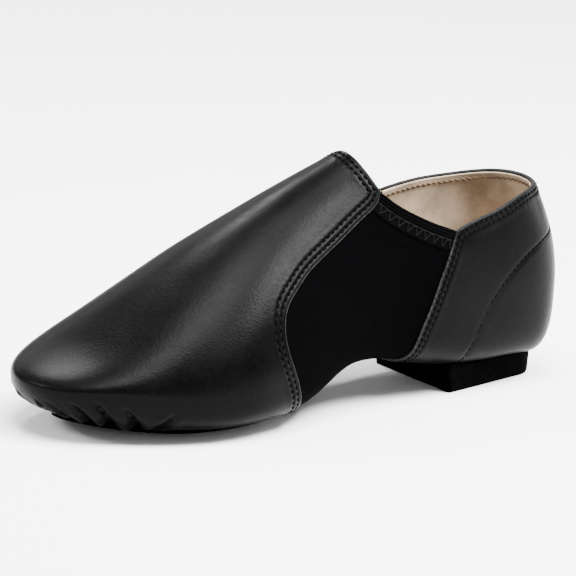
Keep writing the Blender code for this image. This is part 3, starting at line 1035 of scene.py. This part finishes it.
def build_vamp():
    fan = fan_angles(
        VAMP_COUNTS,
        (
            ((0.0, 108), (0.5, 90), (1.0, 72)),
            ((0.0, 72), (0.29, 16), (0.5, -90), (0.71, -196), (1.0, -252)),
        ),
    )

    def relief(points, deep):
        uneven = 0.00016 * wave(points, 5, 0.055) + 0.00005 * wave(points, 8, 0.020)
        return pleat_relief(points, settings().pleats) + uneven * ease(deep / 0.006)

    leather_panel(
        "vamp_leather", vamp_outline(), VAMP_COUNTS, math.pi, fan, 118, 3.0, vamp_rows(), relief, "vamp"
    )


def line_relief(points, edge, width, depth):
    """A trough along a line that crosses a panel."""
    part_length = 60
    margin = 0.005
    reach = np.linspace(0.0, edge.length, int(edge.length / 0.0004))
    line = last_points(*edge.on(reach))
    flat = points.reshape(-1, 3)
    nearest = np.full(len(flat), 1.0)
    for start in range(0, len(line), part_length):
        part = line[start : start + part_length + 1]
        low = part.min(axis=0) - margin
        high = part.max(axis=0) + margin
        near = np.all((flat > low) & (flat < high), axis=1)
        if near.any():
            gaps = np.linalg.norm(flat[near][:, None] - part[None], axis=-1).min(axis=1)
            nearest[near] = np.minimum(nearest[near], gaps)
    nearest = nearest.reshape(points.shape[:-1])
    return -depth * np.exp(-((nearest / width) ** 2))


def counter_edge():
    """The counter seam: round the heel, from low on the inner side to low on the outer side."""
    turns, angles = side_line(COUNTER_SEAM)
    keep = angles > math.radians(-62)
    turns = turns[keep]
    angles = angles[keep]
    return Edge(
        np.concatenate([turns[::-1], turns]), np.concatenate([np.pi - angles[::-1], angles]), False
    )


def build_quarter():
    fan = fan_angles(
        QUARTER_COUNTS,
        (
            ((0.0, 188), (0.5, 90), (1.0, -8)),
            ((0.0, -8), (0.5, -90), (1.0, -172)),
        ),
    )
    counter = counter_edge()

    def relief(points, deep):
        uneven = 0.00016 * wave(points, 11, 0.05) + 0.00005 * wave(points, 12, 0.018)
        return line_relief(points, counter, 0.0008, 0.00032) + uneven * ease(deep / 0.006)

    leather_panel(
        "quarter_leather", quarter_outline(), QUARTER_COUNTS, 0.0, fan, 84, 1.6,
        quarter_rows(), relief, "quarter",
    )


# Cloth, lining and elastic

# How far inside the leather's outer face each of these lies
CLOTH_FACE = 0.00125
CLOTH_THICKNESS = 0.0006
LINING_BACK = 0.00195
LINING_RIM = 0.0022
LINING_FACE = 0.0025


def coons(left, right, top, bottom):
    """Rows of turns and angles inside four border lines."""
    v = np.linspace(0.0, 1.0, len(left))[:, None, None]
    u = np.linspace(0.0, 1.0, len(top))[None, :, None]
    ruled = (1 - u) * left[:, None] + u * right[:, None] + (1 - v) * top[None] + v * bottom[None]
    corners = (1 - v) * ((1 - u) * top[0] + u * top[-1]) + v * ((1 - u) * bottom[0] + u * bottom[-1])
    return ruled - corners


def gore_edge(outer):
    """The top edge of a stretch side, its depth measured down into the cloth."""
    edge = one_side(GORE_TOP, outer, False)
    edge.sign = 1.0 if outer else -1.0
    return edge


def half_cloth(outer, down, over):
    """Turns and angles of the cloth from the top of one side to the middle of the arch, as if outer."""
    quarter = Edge(*side_line(QUARTER_FRONT, outer), False)
    vamp = Edge(*side_line(VAMP_EDGE, outer), True)
    gore = Edge(*side_line(GORE_TOP, outer), False)
    tuck = 0.0035 * np.linspace(0.3, 1, down)
    left, right = (
        np.stack(edge.at(np.linspace(0.0006, edge.length, down), tuck), axis=-1) for edge in (quarter, vamp)
    )
    left[-1, 1] = -np.pi / 2
    right[-1, 1] = -np.pi / 2
    top = np.stack(gore.at(np.linspace(0.0, gore.length, over)), axis=-1)
    top[:, 1] -= 0.004
    share = np.linspace(0, 1, over)[:, None]
    top = top + (left[0] - top[0]) * (1 - share)
    top = top + (right[0] - top[-1]) * share
    bottom = np.linspace(left[-1], right[-1], over)
    return coons(left, right, top, bottom)


def build_gore_cloth():
    """The stretch cloth: one piece from the top of one side, under the arch, to the other."""
    down = 150
    over = 110
    other = half_cloth(False, down, over)[-2::-1]
    other[..., 1] = -np.pi - other[..., 1]
    sheet = np.concatenate([half_cloth(True, down, over), other])
    turns = sheet[..., 0]
    angles = sheet[..., 1]
    v = np.abs(np.linspace(-1.0, 1.0, len(sheet)))[:, None]
    slack = 0.00022 * wave(last_points(turns, angles), 21, 0.030) * ease((1 - v) / 0.1)
    crease = -0.0004 * np.exp(-(((1 - v) - 0.155) / 0.018) ** 2)
    share = np.linspace(0.0, 1.0, over)[None]
    crease = crease * (0.35 + 0.65 * np.sin(np.pi * share) ** 2)
    points = surface(turns, angles, slack + crease - CLOTH_FACE)
    obj = grid_piece("gore_cloth", points)
    pick(obj)
    face_away(obj, turns, angles, points)
    wall = obj.modifiers.new("cloth thickness", "SOLIDIFY")
    wall.thickness = CLOTH_THICKNESS
    wall.offset = -1.0
    bpy.ops.object.modifier_apply(modifier=wall.name)
    finish_piece(obj, "cloth", "stretch_cloth")


def face_away(obj, turns, angles, points):
    """Turns an open sheet's faces so that they look away from the foot."""
    middle = (points.shape[0] // 3, points.shape[1] // 2)
    want = Vector(outward(turns, angles)[middle])
    spot = Vector(points[middle])
    nearest = min(obj.data.polygons, key=lambda face: (face.center - spot).length)
    if nearest.normal.dot(want) < 0:
        with edit_mode():
            bpy.ops.mesh.flip_normals()


def lining_half(border, tip, places, degrees, count):
    """Turns and angles of one half of the lining, in rows from its tip to its border."""
    turns, angles = border
    fan = np.interp(np.arange(len(turns)), places, np.radians(degrees))
    shares = np.linspace(0.0, 1.0, count + 1)[:, None] ** 0.92
    return tip + (turns - tip) * shares, fan + (angles - fan) * shares**2.0


def build_lining():
    """The lining: a heel part and a fore part, joined at a seam behind the stretch sides."""
    drop = 0.0004
    seam_along = 0.267
    seam_count = 160

    def border(edge, count, depth):
        return np.array(edge.at(np.linspace(0.0, edge.length, count), depth))

    collar = border(over_top(QUARTER_TOP, False), 161, drop)
    throat = border(over_top(THROAT, True), 61, drop)
    outer = border(gore_edge(True), 41, 0.0)
    inner = border(gore_edge(False), 41, 0.0)
    seam_angles = np.linspace(outer[1, 0], inner[1, 0] - 2 * np.pi, seam_count)
    seam = np.array([np.full(seam_count, turn(seam_along)), seam_angles])
    heel = np.concatenate([collar, seam[:, 1:]], axis=1)
    heel[:, -1] = heel[0, 0], heel[1, 0] - 2 * np.pi
    fore = np.concatenate([inner, throat[:, 1:], outer[:, -2::-1], seam[:, 1:]], axis=1)
    halves = (
        ("lining_heel", lining_half(heel, 0.0, (0, 80, 160, 239, 319), (180, 90, 0, -90, -180), 70)),
        ("lining_fore", lining_half(fore, math.pi, (0, 70, 140, 219, 299), (168, 90, 12, -90, -192), 90)),
    )
    for name, (turns, angles) in halves:
        base = last_points(turns, angles)
        soft = 0.00012 * wave(base, 31, 0.035)
        dents = 0.5 * np.minimum(pleat_relief(base, settings().pleats), 0.0)
        outer_face = surface(turns, angles, 0.3 * soft + dents - LINING_BACK)
        inner_face = surface(turns, angles, soft + dents - LINING_FACE)
        rim = surface(turns[-1:], angles[-1:], -LINING_RIM) + (outer_face[-1:] - outer_face[-2:-1]) * 0.1
        obj = grid_piece(name, np.concatenate([outer_face, rim, inner_face[::-1]]))
        finish_piece(obj, "lining", "tan_lining")
    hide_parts("upper")


# Across the elastic band: distance below the top edge and height over the last, both in mm
BAND_PROFILE = (
    (8.50, -1.20), (8.50, -0.85), (8.40, -0.66), (8.15, -0.56), (7.80, -0.60), (7.40, -0.52),
    (6.60, -0.50), (5.80, -0.50), (5.00, -0.52), (4.50, -0.60), (4.15, -0.56), (3.85, -0.52),
    (3.60, -0.66), (3.50, -0.70), (3.38, -0.46), (3.20, -0.28), (2.95, -0.20), (2.70, -0.28),
    (2.50, -0.46), (2.38, -0.60), (2.26, -0.40), (2.05, -0.16), (1.78, -0.06), (1.50, -0.16),
    (1.30, -0.38), (1.18, -0.52), (1.06, -0.34), (0.85, -0.12), (0.58, -0.04), (0.25, -0.12),
    (0.02, -0.36), (-0.18, -0.75), (-0.26, -1.20), (-0.24, -1.70), (-0.10, -2.20), (0.15, -2.58),
    (0.55, -2.78), (1.10, -2.82), (1.30, -2.72), (1.10, -2.60), (0.60, -2.52), (0.42, -2.30),
    (0.36, -1.80), (0.45, -1.40), (0.90, -1.22), (4.50, -1.22),
)
BAND_WIDTH = 0.0085
FLAT_POINTS = 8


def build_band(side):
    """The elastic edge of one stretch side: a flat braid with a rolled, ridged top."""
    gore = gore_edge(side == "outer")
    profile = np.array(BAND_PROFILE + BAND_PROFILE[:1]) * 0.001
    profile[:, 0] *= np.where(profile[:, 0] > 0.0036, settings().band / BAND_WIDTH, 1.0)
    below, height = profile.T
    run = np.linspace(0.0, 1.0, 150)[:, None]
    start, end = band_ends(gore, below)
    reach = start + (end - start) * run
    across = np.broadcast_to(below, reach.shape)
    turns, angles = gore.at(reach, across)
    tuck = ease((0.045 - run) / 0.045) + ease((run - 0.955) / 0.045)
    offset = height - 0.00045 * tuck * (height > -0.0012)
    points = surface(turns, angles, offset)
    obj = grid_piece(f"elastic_{side}", points, {"across": across, "along": reach})
    with edit_mode():
        bpy.ops.mesh.select_all(action="DESELECT")
        bpy.ops.mesh.select_mode(type="EDGE")
        bpy.ops.mesh.select_non_manifold()
        bpy.ops.mesh.fill_holes(sides=0)
        bpy.ops.mesh.select_all(action="SELECT")
        bpy.ops.mesh.normals_make_consistent(inside=False)
    finish_piece(obj, "elastic", "elastic", f"gore_binding_{side}")
    flat = below[:FLAT_POINTS][::-1]
    first = np.interp(0.0060, flat, start[:FLAT_POINTS][::-1])
    last = np.interp(0.0060, flat, end[:FLAT_POINTS][::-1])
    zigzag_threads(f"zigzag_{side}", gore, first, last)


def band_ends(gore, below):
    """Where the band starts and ends at each distance below its top, tucked under the leather."""
    back = np.interp(below, (0.0, BAND_WIDTH), (0.0, 0.0018)) - 0.0008
    front = gore.length - np.interp(below, (0.0, BAND_WIDTH), (0.0, -0.0046)) + 0.0006
    return back, front


def tube(path, normal, name):
    """A thread of round section along a row of points."""
    radius = 0.00019
    tangent = unit(np.gradient(path, axis=0))
    side = unit(np.cross(tangent, normal))
    up = np.cross(side, tangent)
    around = np.linspace(0.0, 2 * np.pi, 7)[None, :, None]
    swell = np.full(len(path), radius)
    swell[0] = swell[-1] = 0.0
    ring = side[:, None] * np.cos(around) + up[:, None] * np.sin(around)
    return grid_piece(name, path[:, None] + ring * swell[:, None, None])


def zigzag_threads(name, gore, first, last):
    """The zigzag and the straight row of thread that hold the band on the cloth."""
    pitch = 0.0041
    high = 0.0045
    corners = []
    for i in range(int((last - first - 0.002) / pitch)):
        here = first + 0.001 + i * pitch
        corners += [(here, 0.0078), (here + 0.22 * pitch, high), (here + 0.56 * pitch, high)]
    corners = np.array(corners)
    fine = [a + (b - a) * t for a, b in zip(corners[:-1], corners[1:]) for t in (0.0, 0.12, 0.5, 0.88)]
    fine = np.array([*fine, corners[-1]])
    straight = np.linspace(first + 0.0008, last - 0.0008, 150)
    height = -0.00044 + 0.00007 * np.sin(2 * np.pi * straight / 0.0016)
    threads = []
    for reach, depth, lift in ((fine[:, 0], fine[:, 1], -0.00036), (straight, 0.0042, height)):
        turns, angles = gore.at(reach, depth)
        path = surface(turns, angles, lift)
        threads.append(tube(path, outward(turns, angles), f"{name}_{len(threads)}"))
    pick(*threads)
    bpy.ops.object.join()
    obj = bpy.context.object
    obj.name = name
    obj.data.name = name
    finish_piece(obj, "elastic thread", "elastic")


# Stitches

# How far below the leather's outer face the middle of each kind of stitch lies
STITCH_SINK = 0.00006
COUNTER_SINK = 0.00022
LINING_SINK = 0.00252
LINING_PITCH = 0.0027


def stitch_shape(length, radius):
    """One stitch lying along X: a bead drawn out, its ends bent down into the leather."""
    deselect()
    bpy.ops.mesh.primitive_uv_sphere_add(segments=8, ring_count=6, radius=1.0)
    obj = bpy.context.object
    with edit_mode():
        bpy.ops.transform.rotate(value=math.pi / 2, orient_axis="Y", center_override=(0, 0, 0))
        bpy.ops.transform.resize(value=(length / 2, radius, radius), center_override=(0, 0, 0))
    points = np.array([vertex.co[:] for vertex in obj.data.vertices])
    faces = [list(face.vertices) for face in obj.data.polygons]
    bpy.data.objects.remove(obj)
    points[:, 0] = np.sign(points[:, 0]) * np.abs(points[:, 0] * 2 / length) ** 0.8 * length / 2
    points[:, 2] -= 0.88 * radius * (np.abs(points[:, 0]) * 2 / length) ** 2.5
    return points, faces


def sew(name, runs, length, radius, material, slot):
    """Copies one stitch along each run of places, tangents and normals, as one mesh."""
    points, faces = stitch_shape(length, radius)
    all_points = []
    all_faces = []
    for places, tangents, normals in runs:
        sides = unit(np.cross(normals, tangents))
        ups = np.cross(tangents, sides)
        for place, axes in zip(places, np.stack([tangents, sides, ups], axis=1)):
            first = len(all_points) * len(points)
            all_points.append(place + points @ axes)
            all_faces += [[first + i for i in face] for face in faces]
    mesh = bpy.data.meshes.new(name)
    mesh.from_pydata(np.concatenate(all_points).tolist(), [], all_faces)
    obj = bpy.data.objects.new(name, mesh)
    bpy.context.scene.collection.objects.link(obj)
    pick(obj)
    close_and_face_out(obj, 1e-7)
    finish_piece(obj, material, slot)


def run_of(turns, angles, offset, slant):
    """Places, tangents and normals for a row of stitches."""
    places = surface(turns, angles, offset)
    normals = outward(turns, angles)
    tangents = unit(np.gradient(places, axis=0))
    tangents = unit(tangents + slant * np.cross(normals, tangents))
    return places, tangents, normals


def stitch_places(length, pitch):
    """Evenly spaced places for as many stitches as fit along a line."""
    count = int(round(length / pitch))
    return (np.arange(count) + 0.5) * length / count


def outline_rows(outline, depths, pitch):
    """Rows of stitches at each depth along an outline, with none where the soles hide it."""
    lowest = -math.radians(80)
    runs = []
    for number, edge in enumerate(outline.edges):
        reach = stitch_places(edge.length, pitch)
        for depth in depths:
            turns, angles = outline.inset(number, reach, np.full_like(reach, depth))
            parts = [slice(None)]
            if number == 1:
                hidden = np.flatnonzero((angles <= lowest) & (angles >= -math.pi - lowest))
                parts = [slice(0, hidden[0]), slice(hidden[-1] + 1, None)]
            runs += [run_of(turns[part], angles[part], -STITCH_SINK, 0.05) for part in parts]
    return runs


def build_seams():
    stitch = settings().stitch
    radius = settings().thread / 2
    vamp_runs = outline_rows(vamp_outline(), vamp_rows(), stitch)
    sew("vamp_stitches", vamp_runs, 0.78 * stitch, radius, "thread", "black_leather")
    quarter_runs = outline_rows(quarter_outline(), quarter_rows(), stitch * 0.93)
    sew("quarter_stitches", quarter_runs, 0.74 * stitch, radius * 0.9, "thread", "black_leather")
    counter = counter_edge()
    places = counter.at(stitch_places(counter.length, stitch * 0.9))
    counter_run = run_of(*places, -COUNTER_SINK, 0.03)
    sew("counter_stitches", [counter_run], 0.80 * stitch, radius * 0.66, "thread", "black_leather")
    lining_runs = []
    for edge, depth, slant in (
        (over_top(QUARTER_TOP, False), 0.0028, 0.45),
        (gore_edge(True), 0.0046, 0.3),
        (gore_edge(False), 0.0046, 0.3),
    ):
        places = edge.at(stitch_places(edge.length, LINING_PITCH), depth)
        lining_runs.append(run_of(*places, -LINING_SINK, slant))
    sew("lining_stitches", lining_runs, 0.0023, 0.00052, "lining thread", "tan_lining")


# Soles and insole


def underside(plan):
    """Height of the last's underside over points of the floor plan, with their turns and angles."""
    x, y = (plan + MIDDLE[:2]).T
    along = np.clip(x / LENGTH, 0.002, 0.998)
    turns = turn(along)
    rows = sections(turns)
    share = np.clip(np.abs((y - rows["middle"]) / rows["half"]), 0, 0.999)
    cosine = share ** (rows["square"] / 2)
    sine = np.sqrt(1 - cosine**2)
    z = rows["side"] - (rows["side"] - rows["low"]) * sine ** (2 / rows["square"])
    angles = np.where(y > rows["middle"], -np.arcsin(sine), np.arcsin(sine) - np.pi)
    return z + walking_line(along), turns, angles


def plan_outline(back, front, inset):
    """Outline (x, y) of a sole part seen from above, inside the last's widest outline."""
    t = np.linspace(0.0, np.pi, 90)
    along = back + (front - back) * station_at(t)
    power = np.where(t < np.pi / 2, 5.0, 3.0)
    fullness = np.clip(1 - np.abs(np.cos(t)) ** power, 0, 1) ** (1 / power)
    rows = sections(turn(along))
    outer = rows["outer"] * BALL_WIDTH - inset
    inner = rows["inner"] * BALL_WIDTH - inset
    middle = (outer - inner) / 2
    half = (outer + inner) / 2 * fullness
    there = np.stack([along * LENGTH, middle + half], axis=-1)
    back_again = np.stack([along * LENGTH, middle - half], axis=-1)[-2:0:-1]
    return np.concatenate([there, back_again]) - MIDDLE[:2]


def even_outline(outline, count):
    """The closed outline with its points spaced evenly, the first repeated at the end."""
    closed = np.concatenate([outline, outline[:1]])
    reach = reach_along(closed)
    places = np.linspace(0.0, reach[-1], count + 1)
    return np.stack([np.interp(places, reach, column) for column in closed.T], axis=-1)


def plan_layers(outline, layers):
    """Rings on the last's underside, each at a share of the way to the outline and at an offset."""
    centre = outline.mean(axis=0)
    rings = []
    for share, offset in layers:
        places = underside(centre + (outline - centre) * share)[1:]
        rings.append(surface(*places, offset))
    return np.array(rings)


def build_insole():
    outline = even_outline(plan_outline(0.030, 0.955, INSOLE_INSET), 220)
    shares = np.linspace(0.0, 0.985, 30)
    layers = [(share, -0.0029) for share in shares]
    layers += [(1.0, -0.0029), (1.004, -0.0034), (1.002, -0.0046), (0.99, -0.0052)]
    layers += [(share, -0.0053) for share in shares[::-1]]
    obj = grid_piece("insole_sock", plan_layers(outline, layers))
    finish_piece(obj, "lining", "tan_lining", "insole")


def build_forefoot_sole():
    outline = even_outline(plan_outline(0.575, 0.938, SOLE_INSET), 260)
    top = GAP * 0.5
    low = GAP + SOLE_THICKNESS
    shares = 1 - (1 - np.linspace(0.0, 1.0, 34)) ** 1.25
    layers = [(share * 0.985, top) for share in shares]
    layers += [(0.997, top + 0.00012), (1.0, top + 0.0005), (1.0, low - 0.0005), (0.997, low - 0.00012)]
    layers += [(share * 0.988, low) for share in shares[::-1]]
    points = plan_layers(outline, layers)
    points[..., 2] = np.maximum(points[..., 2], 0.0)
    obj = grid_piece("forefoot_sole_rubber", points)
    finish_piece(obj, "foam", "foam_rubber", "forefoot_sole")


# The heel block's wall from the floor up: how far it is set in and its share of the height
HEEL_WALL = (
    (0.00065, 0.010), (0.00055, 0.035), (0.0005, 0.09), (0.0004, 0.3), (0.0002, 0.6), (0.0001, 0.88),
    (0.0003, 0.97), (0.0007, 1.0),
)
HEEL_BASE_INSET = 0.0009
HEEL_SEAT_INSET = 0.0007


def heel_outline(inset):
    """The heel block's outline: a straight breast with small round corners and a round back."""
    shoulder = HEEL_BACK_INSET + HEEL_ROUND
    breast = HEEL_BACK_INSET + HEEL_LENGTH - inset
    slope = (HEEL_WIDTH - HEEL_BACK_WIDTH) / (2 * (HEEL_LENGTH - HEEL_ROUND))
    corner = 0.0008

    def half_width(x):
        return HEEL_BACK_WIDTH / 2 - inset + slope * (x - shoulder)

    angles = np.linspace(np.pi / 2, 3 * np.pi / 2, 90)
    x = shoulder + (HEEL_ROUND - inset) * np.cos(angles)
    arc = np.stack([x, half_width(x) * np.sin(angles)], axis=-1)
    turn_in = np.linspace(-np.pi / 2, 0, 7)
    near_x = breast - corner + corner * np.cos(turn_in)
    near_y = -half_width(breast - corner) + corner * (1 + np.sin(turn_in))
    near = np.stack([near_x, near_y], axis=-1)
    line = np.concatenate([arc, near, near[::-1] * (1, -1)])
    return even_outline(line - MIDDLE[:2], 260)


def build_heel_block():
    centre = heel_outline(0.0).mean(axis=0)

    def ring(inset, share, rise):
        """A ring at a share of the way out to the wall and a share of the way up to the seat."""
        plan = centre + (heel_outline(inset) - centre) * share
        return np.column_stack([plan, (underside(plan)[0] - GAP) * rise])

    rows = [ring(HEEL_BASE_INSET, share, 0.0) for share in np.linspace(0.0, 1.0, 16)]
    rows += [ring(inset, 1.0, rise) for inset, rise in HEEL_WALL]
    rows += [ring(HEEL_SEAT_INSET, share, 1.0) for share in np.linspace(1.0, 0.0, 14)[1:]]
    obj = grid_piece("heel_block_rubber", np.array(rows))
    finish_piece(obj, "foam", "foam_rubber", "heel_block")


# Studio

PHOTO_SIZE = 576


def build_stage():
    deselect()
    bpy.ops.mesh.primitive_circle_add(vertices=96, radius=9.0, fill_type="NGON", location=(0, 0, 0))
    floor = bpy.context.object
    floor.name = "studio_floor"
    floor.data.materials.append(material_of("floor"))

    world = bpy.data.worlds.new("soft white studio")
    world.use_nodes = True
    background = world.node_tree.nodes["Background"]
    background.inputs["Color"].default_value = (1.0, 1.0, 1.0, 1.0)
    background.inputs["Strength"].default_value = 0.80
    bpy.context.scene.world = world

    def softbox(name, place, aim, width, height, power):
        bpy.ops.object.light_add(type="AREA", location=place)
        light = bpy.context.object
        light.name = name
        light.data.shape = "RECTANGLE"
        light.data.size = width
        light.data.size_y = height
        light.data.energy = power
        direction = Vector(aim) - Vector(place)
        light.rotation_euler = direction.to_track_quat("-Z", "Y").to_euler()

    low = (0.0, 0.0, 0.05)
    softbox("key softbox", (-0.54, 0.56, 1.21), low, 0.72, 0.50, 102.0)
    softbox("overhead softbox", (0.19, 0.22, 1.37), low, 0.62, 0.62, 57.0)
    softbox("back softbox", (-0.12, -0.86, 1.07), (0.05, 0.0, 0.05), 0.26, 0.18, 15.0)
    softbox("rim softbox", (-0.3, -1.4, 0.7), low, 1.4, 0.35, 4.0)
    softbox("toe softbox", (1.06, -0.52, 0.80), low, 0.40, 0.30, 17.0)
    softbox("heel softbox", (-1.26, 0.18, 0.32), low, 0.35, 0.50, 9.0)

    yaw = math.radians(37.0)
    rise = math.radians(14.87)
    roll = math.radians(3.0)
    distance = 1.70
    back = Vector((math.sin(yaw) * math.cos(rise), math.cos(yaw) * math.cos(rise), math.sin(rise)))
    right = (-back).cross(Vector((0, 0, 1))).normalized()
    up = right.cross(-back)
    across = right * math.cos(roll) + up * math.sin(roll)
    upright = -right * math.sin(roll) + up * math.cos(roll)
    turned = Matrix((across, upright, back)).transposed()
    target = Vector((0.0, -0.0003, 0.040))
    bpy.ops.object.camera_add(location=target + back * distance, rotation=turned.to_euler())
    camera = bpy.context.object
    camera.name = "photo camera"
    camera.data.sensor_width = 36.0
    camera.data.lens = 265.6
    camera.data.shift_x = -7.1 / PHOTO_SIZE
    camera.data.shift_y = 13.1 / PHOTO_SIZE
    camera.data.clip_end = 60.0
    bpy.context.scene.camera = camera


# Operators, panel and main


class JAZZ_OT_vamp(bpy.types.Operator):
    """Make the vamp, with its pleats and seam troughs"""

    bl_idname = "jazz_shoe.vamp"
    bl_label = "Vamp"

    def execute(self, context):
        build_vamp()
        return {"FINISHED"}


class JAZZ_OT_quarter(bpy.types.Operator):
    """Make the quarter, with its folded top edge"""

    bl_idname = "jazz_shoe.quarter"
    bl_label = "Quarter"

    def execute(self, context):
        build_quarter()
        return {"FINISHED"}


class JAZZ_OT_stretch_sides(bpy.types.Operator):
    """Make the stretch cloth and its two elastic edges"""

    bl_idname = "jazz_shoe.stretch_sides"
    bl_label = "Stretch sides"

    def execute(self, context):
        build_gore_cloth()
        build_band("outer")
        build_band("inner")
        return {"FINISHED"}


class JAZZ_OT_lining(bpy.types.Operator):
    """Make the lining and the insole"""

    bl_idname = "jazz_shoe.lining"
    bl_label = "Lining and insole"

    def execute(self, context):
        build_lining()
        build_insole()
        return {"FINISHED"}


class JAZZ_OT_soles(bpy.types.Operator):
    """Make the forefoot sole and the heel block"""

    bl_idname = "jazz_shoe.soles"
    bl_label = "Soles"

    def execute(self, context):
        build_forefoot_sole()
        build_heel_block()
        return {"FINISHED"}


class JAZZ_OT_seams(bpy.types.Operator):
    """Sew every row of stitches"""

    bl_idname = "jazz_shoe.seams"
    bl_label = "Seams"

    def execute(self, context):
        build_seams()
        return {"FINISHED"}


class JAZZ_OT_stage(bpy.types.Operator):
    """Set up the floor, the lights and the camera"""

    bl_idname = "jazz_shoe.stage"
    bl_label = "Studio"

    def execute(self, context):
        build_stage()
        return {"FINISHED"}


class JAZZ_PT_panel(bpy.types.Panel):
    """Buttons and settings of the jazz shoe"""

    bl_idname = "JAZZ_PT_panel"
    bl_label = "Jazz shoe"
    bl_space_type = "VIEW_3D"
    bl_region_type = "UI"
    bl_category = "Jazz shoe"

    def draw(self, context):
        layout = self.layout
        for operator in OPERATORS:
            layout.operator(operator.bl_idname)
        for group in (context.scene.jazz_shoe_sizes, context.scene.jazz_shoe_colours):
            box = layout.box()
            for key in group.__annotations__:
                box.prop(group, key)


OPERATORS = (
    JAZZ_OT_vamp,
    JAZZ_OT_quarter,
    JAZZ_OT_stretch_sides,
    JAZZ_OT_lining,
    JAZZ_OT_soles,
    JAZZ_OT_seams,
    JAZZ_OT_stage,
)


def register():
    for item in (JazzShoeSizes, JazzShoeColours, *OPERATORS, JAZZ_PT_panel):
        bpy.utils.register_class(item)
    bpy.types.Scene.jazz_shoe_sizes = bpy.props.PointerProperty(type=JazzShoeSizes)
    bpy.types.Scene.jazz_shoe_colours = bpy.props.PointerProperty(type=JazzShoeColours)


def unregister():
    del bpy.types.Scene.jazz_shoe_colours
    del bpy.types.Scene.jazz_shoe_sizes
    for item in reversed((JazzShoeSizes, JazzShoeColours, *OPERATORS, JAZZ_PT_panel)):
        bpy.utils.unregister_class(item)


def main():
    register()
    bpy.ops.jazz_shoe.vamp()
    bpy.ops.jazz_shoe.quarter()
    bpy.ops.jazz_shoe.stretch_sides()
    bpy.ops.jazz_shoe.lining()
    bpy.ops.jazz_shoe.soles()
    bpy.ops.jazz_shoe.seams()
    bpy.ops.jazz_shoe.stage()


if __name__ == "__main__":
    main()
